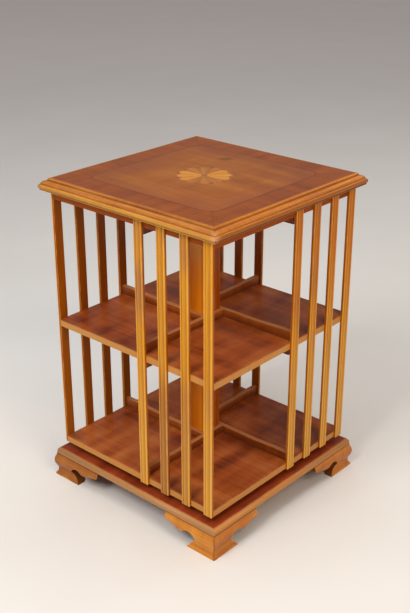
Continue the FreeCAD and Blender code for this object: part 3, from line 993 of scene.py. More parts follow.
@dataclass(frozen=True)
class BoxedTimber(Timber):
    """Wood of the column, with painted highlight on its front and painted shade on its other sides.

    Attributes:
        deep: Tint of painted shade on the other sides, and of half the strength on the left of the front.
        deep_to: Places across the front between which that tint ends.
        front_highlight: Colour of painted highlight that the right of the front leans to.
        top_highlight: Colour of painted highlight that the top of the front leans to.
        front: Distances from the middle between which the front starts.
        front_highlight_from: Places across the front between which that highlight starts.
        top_highlight_from: Levels between which the top highlight starts.
    """

    deep: Code = "C6A89B"
    deep_to: tuple[float, float] = (-0.018, 0.0)
    front_highlight: Code = "F8961A"
    top_highlight: Code = "FFC462"
    front: tuple[float, float] = (0.0232, 0.0238)
    front_highlight_from: tuple[float, float] = (-0.004, 0.012)
    top_highlight_from: tuple[float, float] = (0.5, 0.61)

    def stained_and_shaded(self, graph: Graph, colour: Value, tone: Value) -> Value:
        """Painted highlight toward the right and the top of the front, and painted shade, redder, elsewhere.

        Args:
            graph: The material's graph.
            colour: Colour before these changes.
            tone: Tone of the figure; not used.

        Returns:
            The changed colour.
        """
        x, y, z = graph.parts(graph.place())
        front = (y * -1.0).ramp(*self.front)
        colour = graph.tinted(1 - front * (x.ramp(*self.deep_to) * 0.5 + 0.5), colour, self.deep)
        colour = graph.mix(front * x.ramp(*self.front_highlight_from) * 0.6, colour, self.front_highlight)
        return graph.mix(front * z.ramp(*self.top_highlight_from) * 0.75, colour, self.top_highlight)


@dataclass(frozen=True)
class PlinthTimber(Timber):
    """Wood of the base board, greyer on the end grain of its front and back.

    Attributes:
        worn_end: Colour that the end grain leans to.
        end_lines: Lines in a metre, along it and up it.
    """

    worn_end: Code = "A27A54"
    end_lines: tuple[float, float] = (14.0, 900.0)

    def stained_and_shaded(self, graph: Graph, colour: Value, tone: Value) -> Value:
        """Pale round the side, and grey-brown with fine lines on the end grain.

        Args:
            graph: The material's graph.
            colour: Colour before these changes.
            tone: Tone of the figure.

        Returns:
            The changed colour.
        """
        x, y, z = graph.parts(graph.place())
        long, short = self.end_lines
        lines = graph.noise(graph.joined(x * long, y * long, z * short), None)
        worn = farther(y, x) * lines.ramp(0.3, 0.55) * graph.attribute("edge")
        return graph.mix(worn * 0.75, super().stained_and_shaded(graph, colour, tone), self.worn_end)


@dataclass(frozen=True)
class FootTimber(Timber):
    """Wood of the feet, palest on the front at the right and darkest at the left, with painted shade on the
    left and right sides.

    Attributes:
        dull: Tint of the front at its left end.
        sideways: Tint of painted shade on the left and right sides.
        dulled: Places across the front between which the dull tint ends.
    """

    dull: Code = "C8B8C8"
    sideways: Code = "E4D2E4"
    dulled: tuple[float, float] = (-0.2, 0.2)

    def stained_and_shaded(self, graph: Graph, colour: Value, tone: Value) -> Value:
        """Duller toward the left, and a little duller on the left and right sides as painted shade.

        Args:
            graph: The material's graph.
            colour: Colour before these changes.
            tone: Tone of the figure; not used.

        Returns:
            The changed colour.
        """
        x, y, _ = graph.parts(graph.place())
        facing = graph.mix(x.ramp(*self.dulled), self.dull, "FFFFFF")
        # Painted shade on the left and right sides of every foot.
        return graph.mix(1.0, colour, graph.mix(farther(x, y), facing, self.sideways), "MULTIPLY")


@dataclass(frozen=True)
class FieldVeneer(Timber):
    """Veneer of the middle of the top, paler at its middle than at its rim.

    Attributes:
        rim: Colour that it leans to at its rim.
        far_corner_shade: Colour of painted shade that it leans to toward the far corner.
        stain: Colour of a small stain.
        stain_at: Middle of the stain, in metres.
        stain_half: Half its length and half its width, in metres.
    """

    rim: Code = "844422"
    far_corner_shade: Code = "5A2A10"
    stain: Code = "4A2412"
    stain_at: tuple[float, float] = (-0.046, 0.121)
    stain_half: tuple[float, float] = (0.022, 0.012)
    coat: float = 0.06
    shine: float = 0.14

    def material(self) -> bpy.types.Material:
        """Material on object coordinates, with the grain along X.

        Returns:
            The material.
        """
        graph = Graph(self.name)
        place = graph.place()
        x, y, _ = graph.parts(place)
        tone, pores = self.figure(graph, place)
        cloud = graph.noise(place, CLOUD_SCALE)
        toward_rim = (off_middle(x, y) + (cloud - 0.5) * 0.08).ramp(0.06, 0.19)
        colour = graph.mix(toward_rim * 0.75, self.colour(graph, tone, pores), self.rim)
        colour = self.clouded(graph, place, colour)
        # Painted shade toward the far corner of the top.
        colour = graph.mix((y - x).ramp(-0.22, 0.02) * 0.2, colour, self.far_corner_shade)
        colour = graph.mix(self.spot(x, y, cloud) * 0.55, colour, self.stain)
        return self.polish(graph, place, colour, pores)

    def spot(self, x: Value, y: Value, cloud: Value) -> Value:
        """Strength of a small dark stain drawn out on the diagonal.

        It falls from 1 to 0 as sqrt((u/a)^2 + (v/b)^2) grows from 0.3 to 1, where u
        runs along the diagonal and v across it from the middle of the stain.

        Args:
            x: Place across the top, in metres.
            y: Place along the top, in metres.
            cloud: Slow noise that makes its outline uneven.

        Returns:
            The strength from 0 to 1.
        """
        middle_x, middle_y = self.stain_at
        diagonal = 0.7
        along = (x - middle_x + (y - middle_y)) * (diagonal / self.stain_half[0])
        across = (y - middle_y - (x - middle_x)) * (diagonal / self.stain_half[1])
        far = (along * along + across * across).math("SQRT") + (cloud - 0.5) * 0.8
        return 1 - far.ramp(0.3, 1.0)

    def polish(self, graph: Graph, place: Value, colour: Value, pores: Value) -> bpy.types.Material:
        """Material with a satin polish and faint rubbing marks.

        Args:
            graph: The material's graph.
            place: Place in the veneer.
            colour: Its colour.
            pores: Its pores from 0 to 1.

        Returns:
            The material.
        """
        cloud = graph.noise(place, POLISH_SCALE, 4.0)
        marks = graph.noise(place, SCRATCH_SCALE, 1.0).ramp(0.62, 0.7)
        return graph.finish({
            "Base Color": colour,
            "Roughness": cloud * 0.16 + marks * 0.08 + (self.gloss - 0.08),
            "Normal": graph.bump(fine_relief(graph, place, pores), 0.25, 0.0003),
            "Specular IOR Level": self.shine,
            "Coat Weight": self.coat,
            "Coat Roughness": 0.2,
        })


@dataclass(frozen=True)
class Crossband(FieldVeneer):
    """Veneer whose grain runs square to the nearest side, mitred at the corners.

    Attributes:
        joint: Colour of the line at the mitres.
        joint_half: Distances from the mitre between which that ends.
    """

    joint: Code = "2A120A"
    joint_half: tuple[float, float] = (0.0002, 0.0007)

    def material(self) -> bpy.types.Material:
        """Material on object coordinates, turned on the left and right sides.

        Returns:
            The material.
        """
        graph = Graph(self.name)
        x, y, z = graph.parts(graph.place())
        wide, deep = x.math("ABSOLUTE"), y.math("ABSOLUTE")
        sideways = wide.math("GREATER_THAN", deep)
        along = x * sideways + y * (1 - sideways)
        across = y * sideways + x * (1 - sideways) + sideways * 0.7
        log = graph.joined(along, across, z)
        tone, pores = self.figure(graph, log)
        colour = self.clouded(graph, log, self.colour(graph, tone, pores))
        joint = 1 - (wide - deep).math("ABSOLUTE").ramp(*self.joint_half)
        return self.polish(graph, log, graph.mix(joint * 0.8, colour, self.joint), pores)


@dataclass(frozen=True)
class Petals(FieldVeneer):
    """Veneer of the patera, its grain along each petal and one side scorched.

    Attributes:
        scorched: Colour that the scorched side leans to.
        scorch: How far it leans.
        petals: How many petals there are.
    """

    scorched: Code = "8A5420"
    scorch: float = 0.75
    petals: int = 12

    def material(self) -> bpy.types.Material:
        """Material on polar coordinates about the middle of the top.

        Returns:
            The material.
        """
        graph = Graph(self.name)
        x, y, z = graph.parts(graph.place())
        out = (x * x + y * y).math("SQRT")
        turn = y.math("ARCTAN2", x) * (self.petals / (2 * math.pi)) + self.petals
        number, share = turn.math("FLOOR"), turn.math("FRACT")
        across = (share - 0.5) * out * (2 * math.pi / self.petals)
        log = graph.joined(out, across + number * 0.37, z + number * 0.11)
        tone, pores = self.figure(graph, log)
        scorched = (share + (tone - 0.5) * 0.25).ramp(0.45, 1.05) * self.scorch
        colour = graph.mix(scorched, self.colour(graph, tone, pores), self.scorched)
        return self.polish(graph, log, colour, pores)


@dataclass(frozen=True)
class RawTimber(Timber):
    """Unpolished wood of a piece that keeps its frame mesh, with the grain along X."""

    def material(self) -> bpy.types.Material:
        """Material on object coordinates, with the marks of a saw.

        Returns:
            The material.
        """
        graph = Graph(self.name)
        place = graph.place()
        saw = graph.noise(place, SAW_SCALE)
        return graph.finish({
            "Base Color": self.colour(graph, *self.figure(graph, place)),
            "Roughness": saw * 0.15 + (self.gloss + 0.3),
            "Normal": graph.bump(saw, 0.4, 0.0003),
        })


@dataclass(frozen=True)
class Metal:
    """Machined metal, dulled in patches.

    Attributes:
        name: Name of the material.
        bright: Colour where it is clean.
        dull: Colour where it has tarnished.
        gloss: Roughness where it is clean.
    """

    name: str
    bright: Code
    dull: Code
    gloss: float = 0.28

    def material(self) -> bpy.types.Material:
        """Material on object coordinates, with rings left by the lathe.

        Returns:
            The material.
        """
        graph = Graph(self.name)
        place = graph.place()
        x, y, z = graph.parts(place)
        out = (x * x + y * y).math("SQRT")
        rings = graph.noise(graph.joined(out * 2600.0, z * 1800.0, 0.0), None)
        patches = graph.noise(place, TARNISH_SCALE, 3.0).ramp(0.45, 0.7)
        return graph.finish({
            "Base Color": graph.mix(patches, self.bright, self.dull),
            "Metallic": 1.0,
            "Roughness": patches * 0.25 + rings * 0.12 + self.gloss,
            "Normal": graph.bump(rings, 0.2, 0.0001),
        })


@dataclass(frozen=True)
class Nylon:
    """Moulded plastic of the spindle's bushes."""

    name: str
    colour: Code
    speck: Code = "CFC8B8"

    def material(self) -> bpy.types.Material:
        """Material on object coordinates, with a fine moulded grain.

        Returns:
            The material.
        """
        graph = Graph(self.name)
        grainy = graph.noise(graph.place(), SPECK_SCALE)
        return graph.finish({
            "Base Color": graph.mix(grainy, self.colour, self.speck),
            "Roughness": grainy * 0.15 + 0.4,
            "Normal": graph.bump(grainy, 0.15, 0.0001),
        })


@dataclass(frozen=True)
class Finishes:
    """Every finish of the pieces made here."""

    board: Timber = Timber(
        "mahogany_board", "6C2C14", "A04E20", "B86A34", side="CA8834", side_share=0.85, rubbed="C98F4C",
        streak=0.04, mottle=0.65, drift=0.75, drifted="50201A", patches=(3.5, 9.0, 9.0))
    # Sub-top: its side colour is darker and redder than the shelves' as painted shade under the moulding.
    sub_top: Timber = Timber(
        "mahogany_sub_top", "6A2A12", "964419", "AE5A2C", side="A4500F", side_share=0.85, rubbed="8E4010",
        streak=0.05, mottle=0.5, rub=0.3, coat=0.0, shine=0.08)
    base: Timber = PlinthTimber(
        "mahogany_base", "5C200F", "843418", "A04624", side="C07E3A", side_share=0.9, rubbed="B98248",
        streak=0.035, mottle=0.3)
    slat: Timber = FacedTimber(
        "honey_slat", "CE8420", "E29820", "ECA834", rubbed="E0A858", gloss=0.42, streak=0.009, mottle=0.05,
        drift=0.75, patches=(4.5, 2.5, 2.5), patchiness=0.08, relief=0.12)
    rail: Timber = Timber(
        "mahogany_rail", "6E2C10", "A2501E", "B8682A", side="B07444", side_share=0.85, rubbed="C4844C",
        streak=0.02, mottle=0.3, drift=0.5, drifted="78300F")
    bearer: Timber = Timber(
        "mahogany_bearer", "662A10", "8A3E1A", "A25426", rubbed="A06030", streak=0.02, mottle=0.3)
    # Column finish with painted highlight on its front and painted shade on its other sides.
    column: Timber = BoxedTimber(
        "column_wood", "C8690B", "DD7A0D", "EA9420", rub=0.3, gloss=0.36, streak=0.05, mottle=0.05, coat=0.1,
        shine=0.15, relief=0.08)
    moulding: Timber = LippedTimber(
        "moulding_wood", "8A4A1E", "AC6A2C", "C68640", rubbed="DCA45A", streak=0.012, mottle=0.15)
    # Copy of the moulding for the right-hand length, with painted shade on its lip and its own painted
    # light.
    shaded_right_moulding: Timber = LippedTimber(
        "dark_moulding_wood", "8E4E1C", "BA7028", "CC8836", rubbed="D09A50", streak=0.012, mottle=0.15,
        lip_painted_light="7A400E")
    foot: Timber = FootTimber(
        "foot_wood", "A05A1C", "D08630", "E4A440", rubbed="DCA45C", streak=0.02, mottle=0.3, drift=0.35,
        drifted="B26A38")


FRAME_FINISHES: tuple[tuple[Timber | Metal | Nylon, tuple[str, ...]], ...] = (
    (Metal("bright_steel", "B9B7B2", "7F7A72"), (
        "spindle", "spindle_flange", "retaining_collar", "lower_race", "base_screws", "bearing_balls",
        "upper_race", "case_screws")),
    (Metal("cage_brass", "C9A25A", "8C6A34", gloss=0.32), ("ball_cage",)),
    (RawTimber("hidden_wood", "8E6238", "B58A57", "CDA775"), ("foot_blocks", "top_panel")),
    (Nylon("bush_plastic", "E4DECF"), ("spindle_bushes",)),
    (FieldVeneer(
        "field_veneer", "784014", "9A5618", "AE6C24", streak=0.045, mottle=0.4, gloss=0.33, drift=0.4,
        drifted="7A3E22"), ("field_veneer",)),
    (Crossband(
        "crossband_veneer", "713412", "844112", "8E4A16", streak=0.025, gloss=0.33, drift=0.45,
        drifted="66301A"), ("crossbanding",)),
    (FieldVeneer(
        "string_veneer", "4A2410", "5E3014", "703A1C", rim="542A15", streak=0.02, gloss=0.33),
     ("string_inlay",)),
    (Petals(
        "petal_light", "B0701F", "C07E2C", "D0923A", streak=0.008, mottle=0.1, gloss=0.33,
        scorched="B07028", scorch=0.6), ("patera_light",)),
    (Petals(
        "petal_dark", "8A5220", "A26327", "B4763A", streak=0.008, mottle=0.1, gloss=0.33,
        scorched="8E5624", scorch=0.6), ("patera_dark",)),
    (Petals(
        "patera_ground", "845022", "9C5C28", "AA6E32", streak=0.008, mottle=0.1, gloss=0.33,
        scorched="6A3C1C"), ("patera_ground",)),
)


# Pieces


def levels(node: str) -> tuple[float, float]:
    """Lowest and highest level of a node of the frame, in millimetres."""
    low, high = (corner.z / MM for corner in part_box(node))
    return low, high


def slat_edges(number: int) -> tuple[float, float]:
    """Left and right edge of a slat of the front side, in millimetres."""
    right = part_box(f"slat_front_{number}")[1].x / MM
    return right - SLAT_WIDTH, right


@dataclass
class Workshop:
    """What every sub-assembly shares while it is made."""

    finishes: Finishes
    made: dict[str, bpy.types.Material] = field(default_factory=dict)
    rng: np.random.Generator = field(default_factory=lambda: np.random.default_rng(GRAIN_SEED))

    def cut(self, shape: Shape, run: Run, side: Side = Side.FRONT) -> Shape:
        """Shape cut from its own part of an endless log and set on its side.

        Args:
            shape: The shape as drawn on the front side.
            run: Direction of the grain there.
            side: Side of the bookcase that it goes to.

        Returns:
            The turned shape with its grain places, run first.
        """
        grain = shape.points[:, run.value] + self.rng.uniform(-LOG_REACH, LOG_REACH, 3)
        return replace(shape, points=side.turn(shape.points), grain=grain)

    def make(
        self, name: str, node: str, shape: Shape, body: Body, slot: str, timber: Timber
    ) -> bpy.types.Object:
        """Write a shape as a piece that rides on a body and stands for a node.

        Args:
            name: Name of the piece.
            node: Node of the frame that it stands for.
            shape: Its mesh, in millimetres.
            body: The body it moves with.
            slot: Name of a material slot; not used.
            timber: Its finish, whose material is made once for all its pieces.

        Returns:
            The piece.
        """
        mesh = bpy.data.meshes.new(name)
        mesh.from_pydata((shape.points * MM).tolist(), [], shape.faces)
        mesh.polygons.foreach_set("use_smooth", np.array(shape.smooth, dtype=bool))
        for word, values in zip(("wear", "dirt", "edge"), shape.marks.T):
            mesh.attributes.new(word, "FLOAT", "POINT").data.foreach_set("value", values.astype(np.float32))
        grain = mesh.attributes.new("grain", "FLOAT_VECTOR", "POINT")
        grain.data.foreach_set("vector", (shape.grain * MM).astype(np.float32).ravel())
        mesh.update()
        if timber.name not in self.made:
            self.made[timber.name] = timber.material()
        mesh.materials.append(self.made[timber.name])
        piece = bpy.data.objects.new(name, mesh)
        bpy.context.scene.collection.objects.link(piece)
        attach(piece, body.value)
        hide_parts(node)
        LOG.info("%s: %d faces", name, len(shape.faces))
        return piece


@dataclass
class FrameFinishes:
    """Finishes of the pieces whose frame mesh already has the right shape."""

    nodes: Mapping[str, bpy.types.Object]

    def build(self) -> None:
        """Give each of these nodes its material."""
        for finish, names in FRAME_FINISHES:
            material = finish.material()
            for name in names:
                slots = self.nodes[name].data.materials
                slots.clear()
                slots.append(material)
                LOG.info("%s: %s", name, finish.name)


@dataclass
class SlatScreens:
    """Sixteen reeded slats, four at the right-hand end of each side."""

    shop: Workshop
    back: float = 218.5
    face: float = 225.0
    low: float = 84.0
    high: float = 680.0
    reed_inset: float = 5.0
    reed_half: float = 1.2
    reed_radius: float = 1.25
    reed_dust_and_shade: float = 0.45
    face_arris: float = 0.7
    back_arris: float = 0.3
    band: float = 1.2

    def outline(self, left: float, right: float) -> Outline:
        """Plan of a slat between two edges, with a reed's groove near each.

        Args:
            left: Its left edge.
            right: Its right edge.

        Returns:
            The outline.
        """
        grooves = []
        for middle in (left + self.reed_inset, right - self.reed_inset):
            # The grooves of the reeds carry dust and painted shade.
            start = Corner(middle - self.reed_half, -self.face, bow=-self.reed_radius, dirt=self.reed_dust_and_shade)
            grooves += [start, Corner(middle + self.reed_half, -self.face, dirt=0.1)]
        return Outline.trace([
            Corner(left, -self.face, soft=self.face_arris),
            *grooves,
            Corner(right, -self.face, soft=self.face_arris),
            Corner(right, -self.back, soft=self.back_arris),
            Corner(left, -self.back, soft=self.back_arris),
        ], self.band)

    def build(self) -> None:
        """Make every slat from the place of its node on the front side."""
        timber = self.shop.finishes.slat
        section = Section.squared(self.low, self.high, self.back_arris, self.band, steps=2)
        for side in Side:
            for number in range(1, 5):
                shape = plate([self.outline(*slat_edges(number))], section)
                shape = self.shop.cut(shape, Run.UPRIGHT, side)
                node = f"slat_{side.word}_{number}"
                self.shop.make(f"reeded_{node}", node, shape, Body.CASE, "slat_wood", timber)


@dataclass
class Shelves:
    """Bottom shelf, mid shelf and sub-top, each housed for the slats."""

    shop: Workshop
    half: float = 219.5
    housing: float = 1.0
    arris: float = 0.8
    stained_lip: float = 2.2
    upper_edge: float = 1.0
    upper_wear: float = 0.4

    def outline(self) -> Outline:
        """Square plan with four shallow housings on each side.

        Returns:
            The outline.
        """
        edge = self.half - self.housing
        drawn = [(-edge, -self.half, 0.0)]
        for number in range(4, 0, -1):
            left, right = slat_edges(number)
            drawn += [(left, -self.half, 0.0), (left, -edge, 0.0)]
            if number > 1:
                drawn += [(right, -edge, 0.0), (right, -self.half, 0.0)]
        return Outline.trace([Corner(x, y) for side in Side for x, y, _ in side.turn(np.array(drawn))])

    def column_hole(self) -> Outline:
        """Square hole for the column, followed with the wood on its left."""
        h = COLUMN_HALF
        return Outline.trace([Corner(-h, -h), Corner(-h, h), Corner(h, h), Corner(h, -h)])

    def build(self) -> None:
        """Make the three boards."""
        finishes = self.shop.finishes
        pierced = ("bottom_shelf", 1, finishes.board), ("mid_shelf", 1, finishes.board)
        for node, holes, timber in (*pierced, ("sub_top", 0, finishes.sub_top)):
            low, high = levels(node)
            section = Section.squared(low, high, self.arris, self.stained_lip)
            upper = section.level > high - self.upper_edge
            wear = np.where(upper, section.wear * self.upper_wear, section.wear)
            section = replace(section, edge=np.where(upper, 0.0, section.edge), wear=wear)
            shape = plate([self.outline(), *[self.column_hole()] * holes], section)
            shape = self.shop.cut(shape, Run.ACROSS)
            self.shop.make(f"housed_{node}", node, shape, Body.CASE, "board_wood", timber)


@dataclass
class BookStops:
    """Low rails on the shelves and the bearers under the boards, set like a pinwheel."""

    shop: Workshop
    near: float = 24.0
    far: float = 34.0
    outer: float = 218.5
    inner: float = 24.0
    height: float = 18.0
    rise: float = 3.0
    sweep: float = 70.0
    level_run: float = 25.0
    foot_dust_and_shade: float = 0.6
    bearer_outer: float = 212.5
    bearer_height: float = 18.0

    def rail(self, foot: float) -> Outline:
        """Side of a rail as (y, z), lifted in two opposed arcs at its outer end.

        Args:
            foot: Level that the rail stands on.

        Returns:
            The outline.
        """
        radius = ((self.sweep / 2) ** 2 + (self.rise / 2) ** 2) / self.rise
        start = -self.outer + self.level_run
        top = foot + self.height
        return Outline.trace([
            # Dust and painted shade along the foot, where the rail meets the shelf.
            Corner(-self.outer, foot, dirt=self.foot_dust_and_shade),
            Corner(self.inner, foot, dirt=self.foot_dust_and_shade),
            Corner(self.inner, top),
            Corner(start + self.sweep, top, bow=-radius),
            Corner(start + self.sweep / 2, top + self.rise / 2, bow=radius),
            Corner(start, top + self.rise),
            Corner(-self.outer, top + self.rise),
        ])

    def bearer(self, top: float) -> Outline:
        """Side of a bearer as (y, z), under a board at the given level.

        Args:
            top: Level of the board's underside.

        Returns:
            The outline.
        """
        low = top - self.bearer_height
        return Outline.trace([
            Corner(-self.bearer_outer, low, soft=1.0),
            Corner(self.inner, low, soft=0.5),
            Corner(self.inner, top),
            Corner(-self.bearer_outer, top),
        ])

    def cut(self, outline: Outline, side: Side) -> Shape:
        """Rail or bearer with this outline, on its side."""
        section = Section.squared(self.near, self.far, arris=0.8, band=1.6)
        return self.shop.cut(plate([outline], section, (2, 0, 1)), Run.ALONG, side)

    def build(self) -> None:
        """Make eight rails, and eight bearers as one piece."""
        finishes = self.shop.finishes
        bearers = []
        for side in Side:
            for node in (f"lower_rail_{side.word}", f"upper_rail_{side.word}"):
                shape = self.cut(self.rail(levels(node)[0]), side)
                self.shop.make(f"swept_{node}", node, shape, Body.CASE, "rail_wood", finishes.rail)
            bearers += [self.cut(self.bearer(levels(board)[0]), side) for board in ("mid_shelf", "sub_top")]
        shape = sum(bearers[1:], bearers[0])
        self.shop.make("bearer_set", "shelf_bearers", shape, Body.CASE, "rail_wood", finishes.bearer)


@dataclass
class Column:
    """Hollow column of four boards, each butted against the next."""

    shop: Workshop
    half: float = COLUMN_HALF
    wall: float = 9.0
    arris: float = 0.7
    joint: float = 0.25
    joint_dust_and_shade: float = 0.6

    def build(self) -> None:
        """Make the four boards as one piece."""
        # Dust and painted shade in the seams between the boards.
        seam = {"soft": self.joint, "dirt": self.joint_dust_and_shade}
        outline = Outline.trace([
            Corner(-self.half, -self.half, soft=self.arris),
            Corner(self.half - self.wall, -self.half, **seam),
            Corner(self.half - self.wall, -self.half + self.wall),
            Corner(-self.half, -self.half + self.wall, **seam),
        ], band=1.5)
        section = Section.squared(*levels("column"), arris=0.2, band=1.0, steps=1)
        boards = [self.shop.cut(plate([outline], section), Run.UPRIGHT, side) for side in Side]
        shape = sum(boards[1:], boards[0])
        self.shop.make("boxed_column", "column", shape, Body.CASE, "column_wood", self.shop.finishes.column)


@dataclass
class TopMoulding:
    """Bull-nosed lip, ovolo and bead, mitred round the top."""

    shop: Workshop
    inner: float = 219.0
    lip_back: float = 236.8
    lip_height: float = 12.8
    lip_nose: float = 3.2
    step: float = 0.8
    ovolo: tuple[float, float, float] = (8.6, 6.4, 8.4)
    bead_quirk: float = 2.2
    fillet: tuple[float, float] = (1.2, 2.4)
    fillet_arris: float = 0.4
    bead: tuple[float, float, float] = (3.3, 4.4, 3.2)
    high: float = 25.0
    gap: float = 0.12

    def profile(self, low: float) -> Outline:
        """Section as (out, up), from its lower inner corner round the lip.

        Args:
            low: Level of its underside.

        Returns:
            The outline.
        """
        fillet_out, fillet_up = self.lip_back + self.fillet[0], self.fillet[1]
        lip_half = (self.lip_height - fillet_up) / 2
        lip_radius = (lip_half**2 + self.lip_nose**2) / (2 * self.lip_nose)
        ovolo_foot = self.lip_back - self.step
        ovolo_back = ovolo_foot - self.ovolo[0]
        ovolo_top = self.lip_height + self.step + self.ovolo[1]
        bead_out = ovolo_back - self.bead_quirk
        # Dust and painted shade in the quirks, in the inner corners and under the lip.
        corners = [
            Corner(self.inner, 0),
            Corner(fillet_out - self.fillet_arris, 0),
            Corner(fillet_out, self.fillet_arris),
            Corner(fillet_out, fillet_up, dirt=0.6),
            Corner(self.lip_back + 0.15, fillet_up, dirt=0.9),
            Corner(self.lip_back, fillet_up, bow=lip_radius),
            Corner(self.lip_back, self.lip_height, dirt=0.3),
            Corner(ovolo_foot, self.lip_height, dirt=0.8),
            Corner(ovolo_foot, self.lip_height + self.step, bow=self.ovolo[2], dirt=0.05),
            Corner(ovolo_back, ovolo_top, dirt=0.25),
            Corner(bead_out, ovolo_top, dirt=0.85),
            Corner(bead_out, self.high - self.bead[1], bow=self.bead[2], dirt=0.05),
            Corner(bead_out - self.bead[0], self.high, dirt=0.3),
            Corner(self.inner, self.high, dirt=0.5),
        ]
        return Outline.trace([replace(corner, y=corner.y + low) for corner in corners])

    def build(self) -> None:
        """Make the four lengths, of which the right-hand one has its own copy of the finish, with painted
        shade on its lip.
        """
        finishes = self.shop.finishes
        for side in Side:
            node = f"top_moulding_{side.word}"
            shape = self.shop.cut(mitred(self.profile(levels(node)[0]), self.gap), Run.ACROSS, side)
            timber = finishes.shaded_right_moulding if side is Side.RIGHT else finishes.moulding
            self.shop.make(f"lipped_{node}", node, shape, Body.CASE, "moulding_wood", timber)


@dataclass
class BaseBoard:
    """Board under the bearing, with a wide ovolo round its upper edge.

    Attributes:
        shop: What the sub-assemblies share.
        half: Half its width.
        ovolo: Radius of the ovolo.
        arris: Radius of the quarter round at its lower edge.
        arris_wear: How rubbed that is.
        band: Width of the clean band under it.
        rubbed: Angles between which the ovolo is rubbed.
        rubbed_wear: How rubbed it is there.
        steps: Runs in the ovolo.
    """

    shop: Workshop
    half: float = 237.5
    ovolo: float = 11.0
    arris: float = 0.6
    arris_wear: float = 0.6
    band: float = 2.5
    rubbed: tuple[float, float] = (0.7, 1.0)
    rubbed_wear: float = 0.8
    steps: int = 8

    def section(self, low: float, high: float) -> Section:
        """Side of the board: a small quarter round, a flat and the ovolo.

        The ovolo's place at angle a is radius * (1 - cos a) in from the side and
        radius * sin a above the flat. The pale side ends where cos a falls to 0.4.

        Args:
            low: Level of its underside.
            high: Level of its top.

        Returns:
            The section.
        """
        small, turn = (np.linspace(0, QUARTER, count + 1) for count in (3, self.steps))
        rubbed = (turn > self.rubbed[0]) & (turn < self.rubbed[1])
        columns = (
            ([self.arris + self.band], self.arris * (1 - np.sin(small)), self.ovolo * (1 - np.cos(turn)),
             [self.ovolo + 0.6, self.ovolo + 1.6]),
            ([low], low + self.arris * (1 - np.cos(small)), high - self.ovolo + self.ovolo * np.sin(turn),
             [high, high]),
            ([0.0], [self.arris_wear] * 4, np.where(rubbed, self.rubbed_wear, 0.0), [0.0, 0.0]),
            ([0.0], [1.0] * 4, np.clip((np.cos(turn) - 0.4) / 0.3, 0.0, 1.0), [0.0, 0.0]),
            ([False], [True] * 3, [False], [True] * self.steps, [False, False]),
        )
        inset, level, wear, edge, curved = (np.concatenate(column) for column in columns)
        return Section(inset, level, curved.astype(bool), wear, edge)

    def build(self) -> None:
        """Make the board."""
        h = self.half
        square = Outline.trace([Corner(-h, -h), Corner(h, -h), Corner(h, h), Corner(-h, h)])
        shape = self.shop.cut(plate([square], self.section(*levels("base_board"))), Run.ALONG)
        timber = self.shop.finishes.base
        self.shop.make("rounded_base_board", "base_board", shape, Body.BASE, "board_wood", timber)


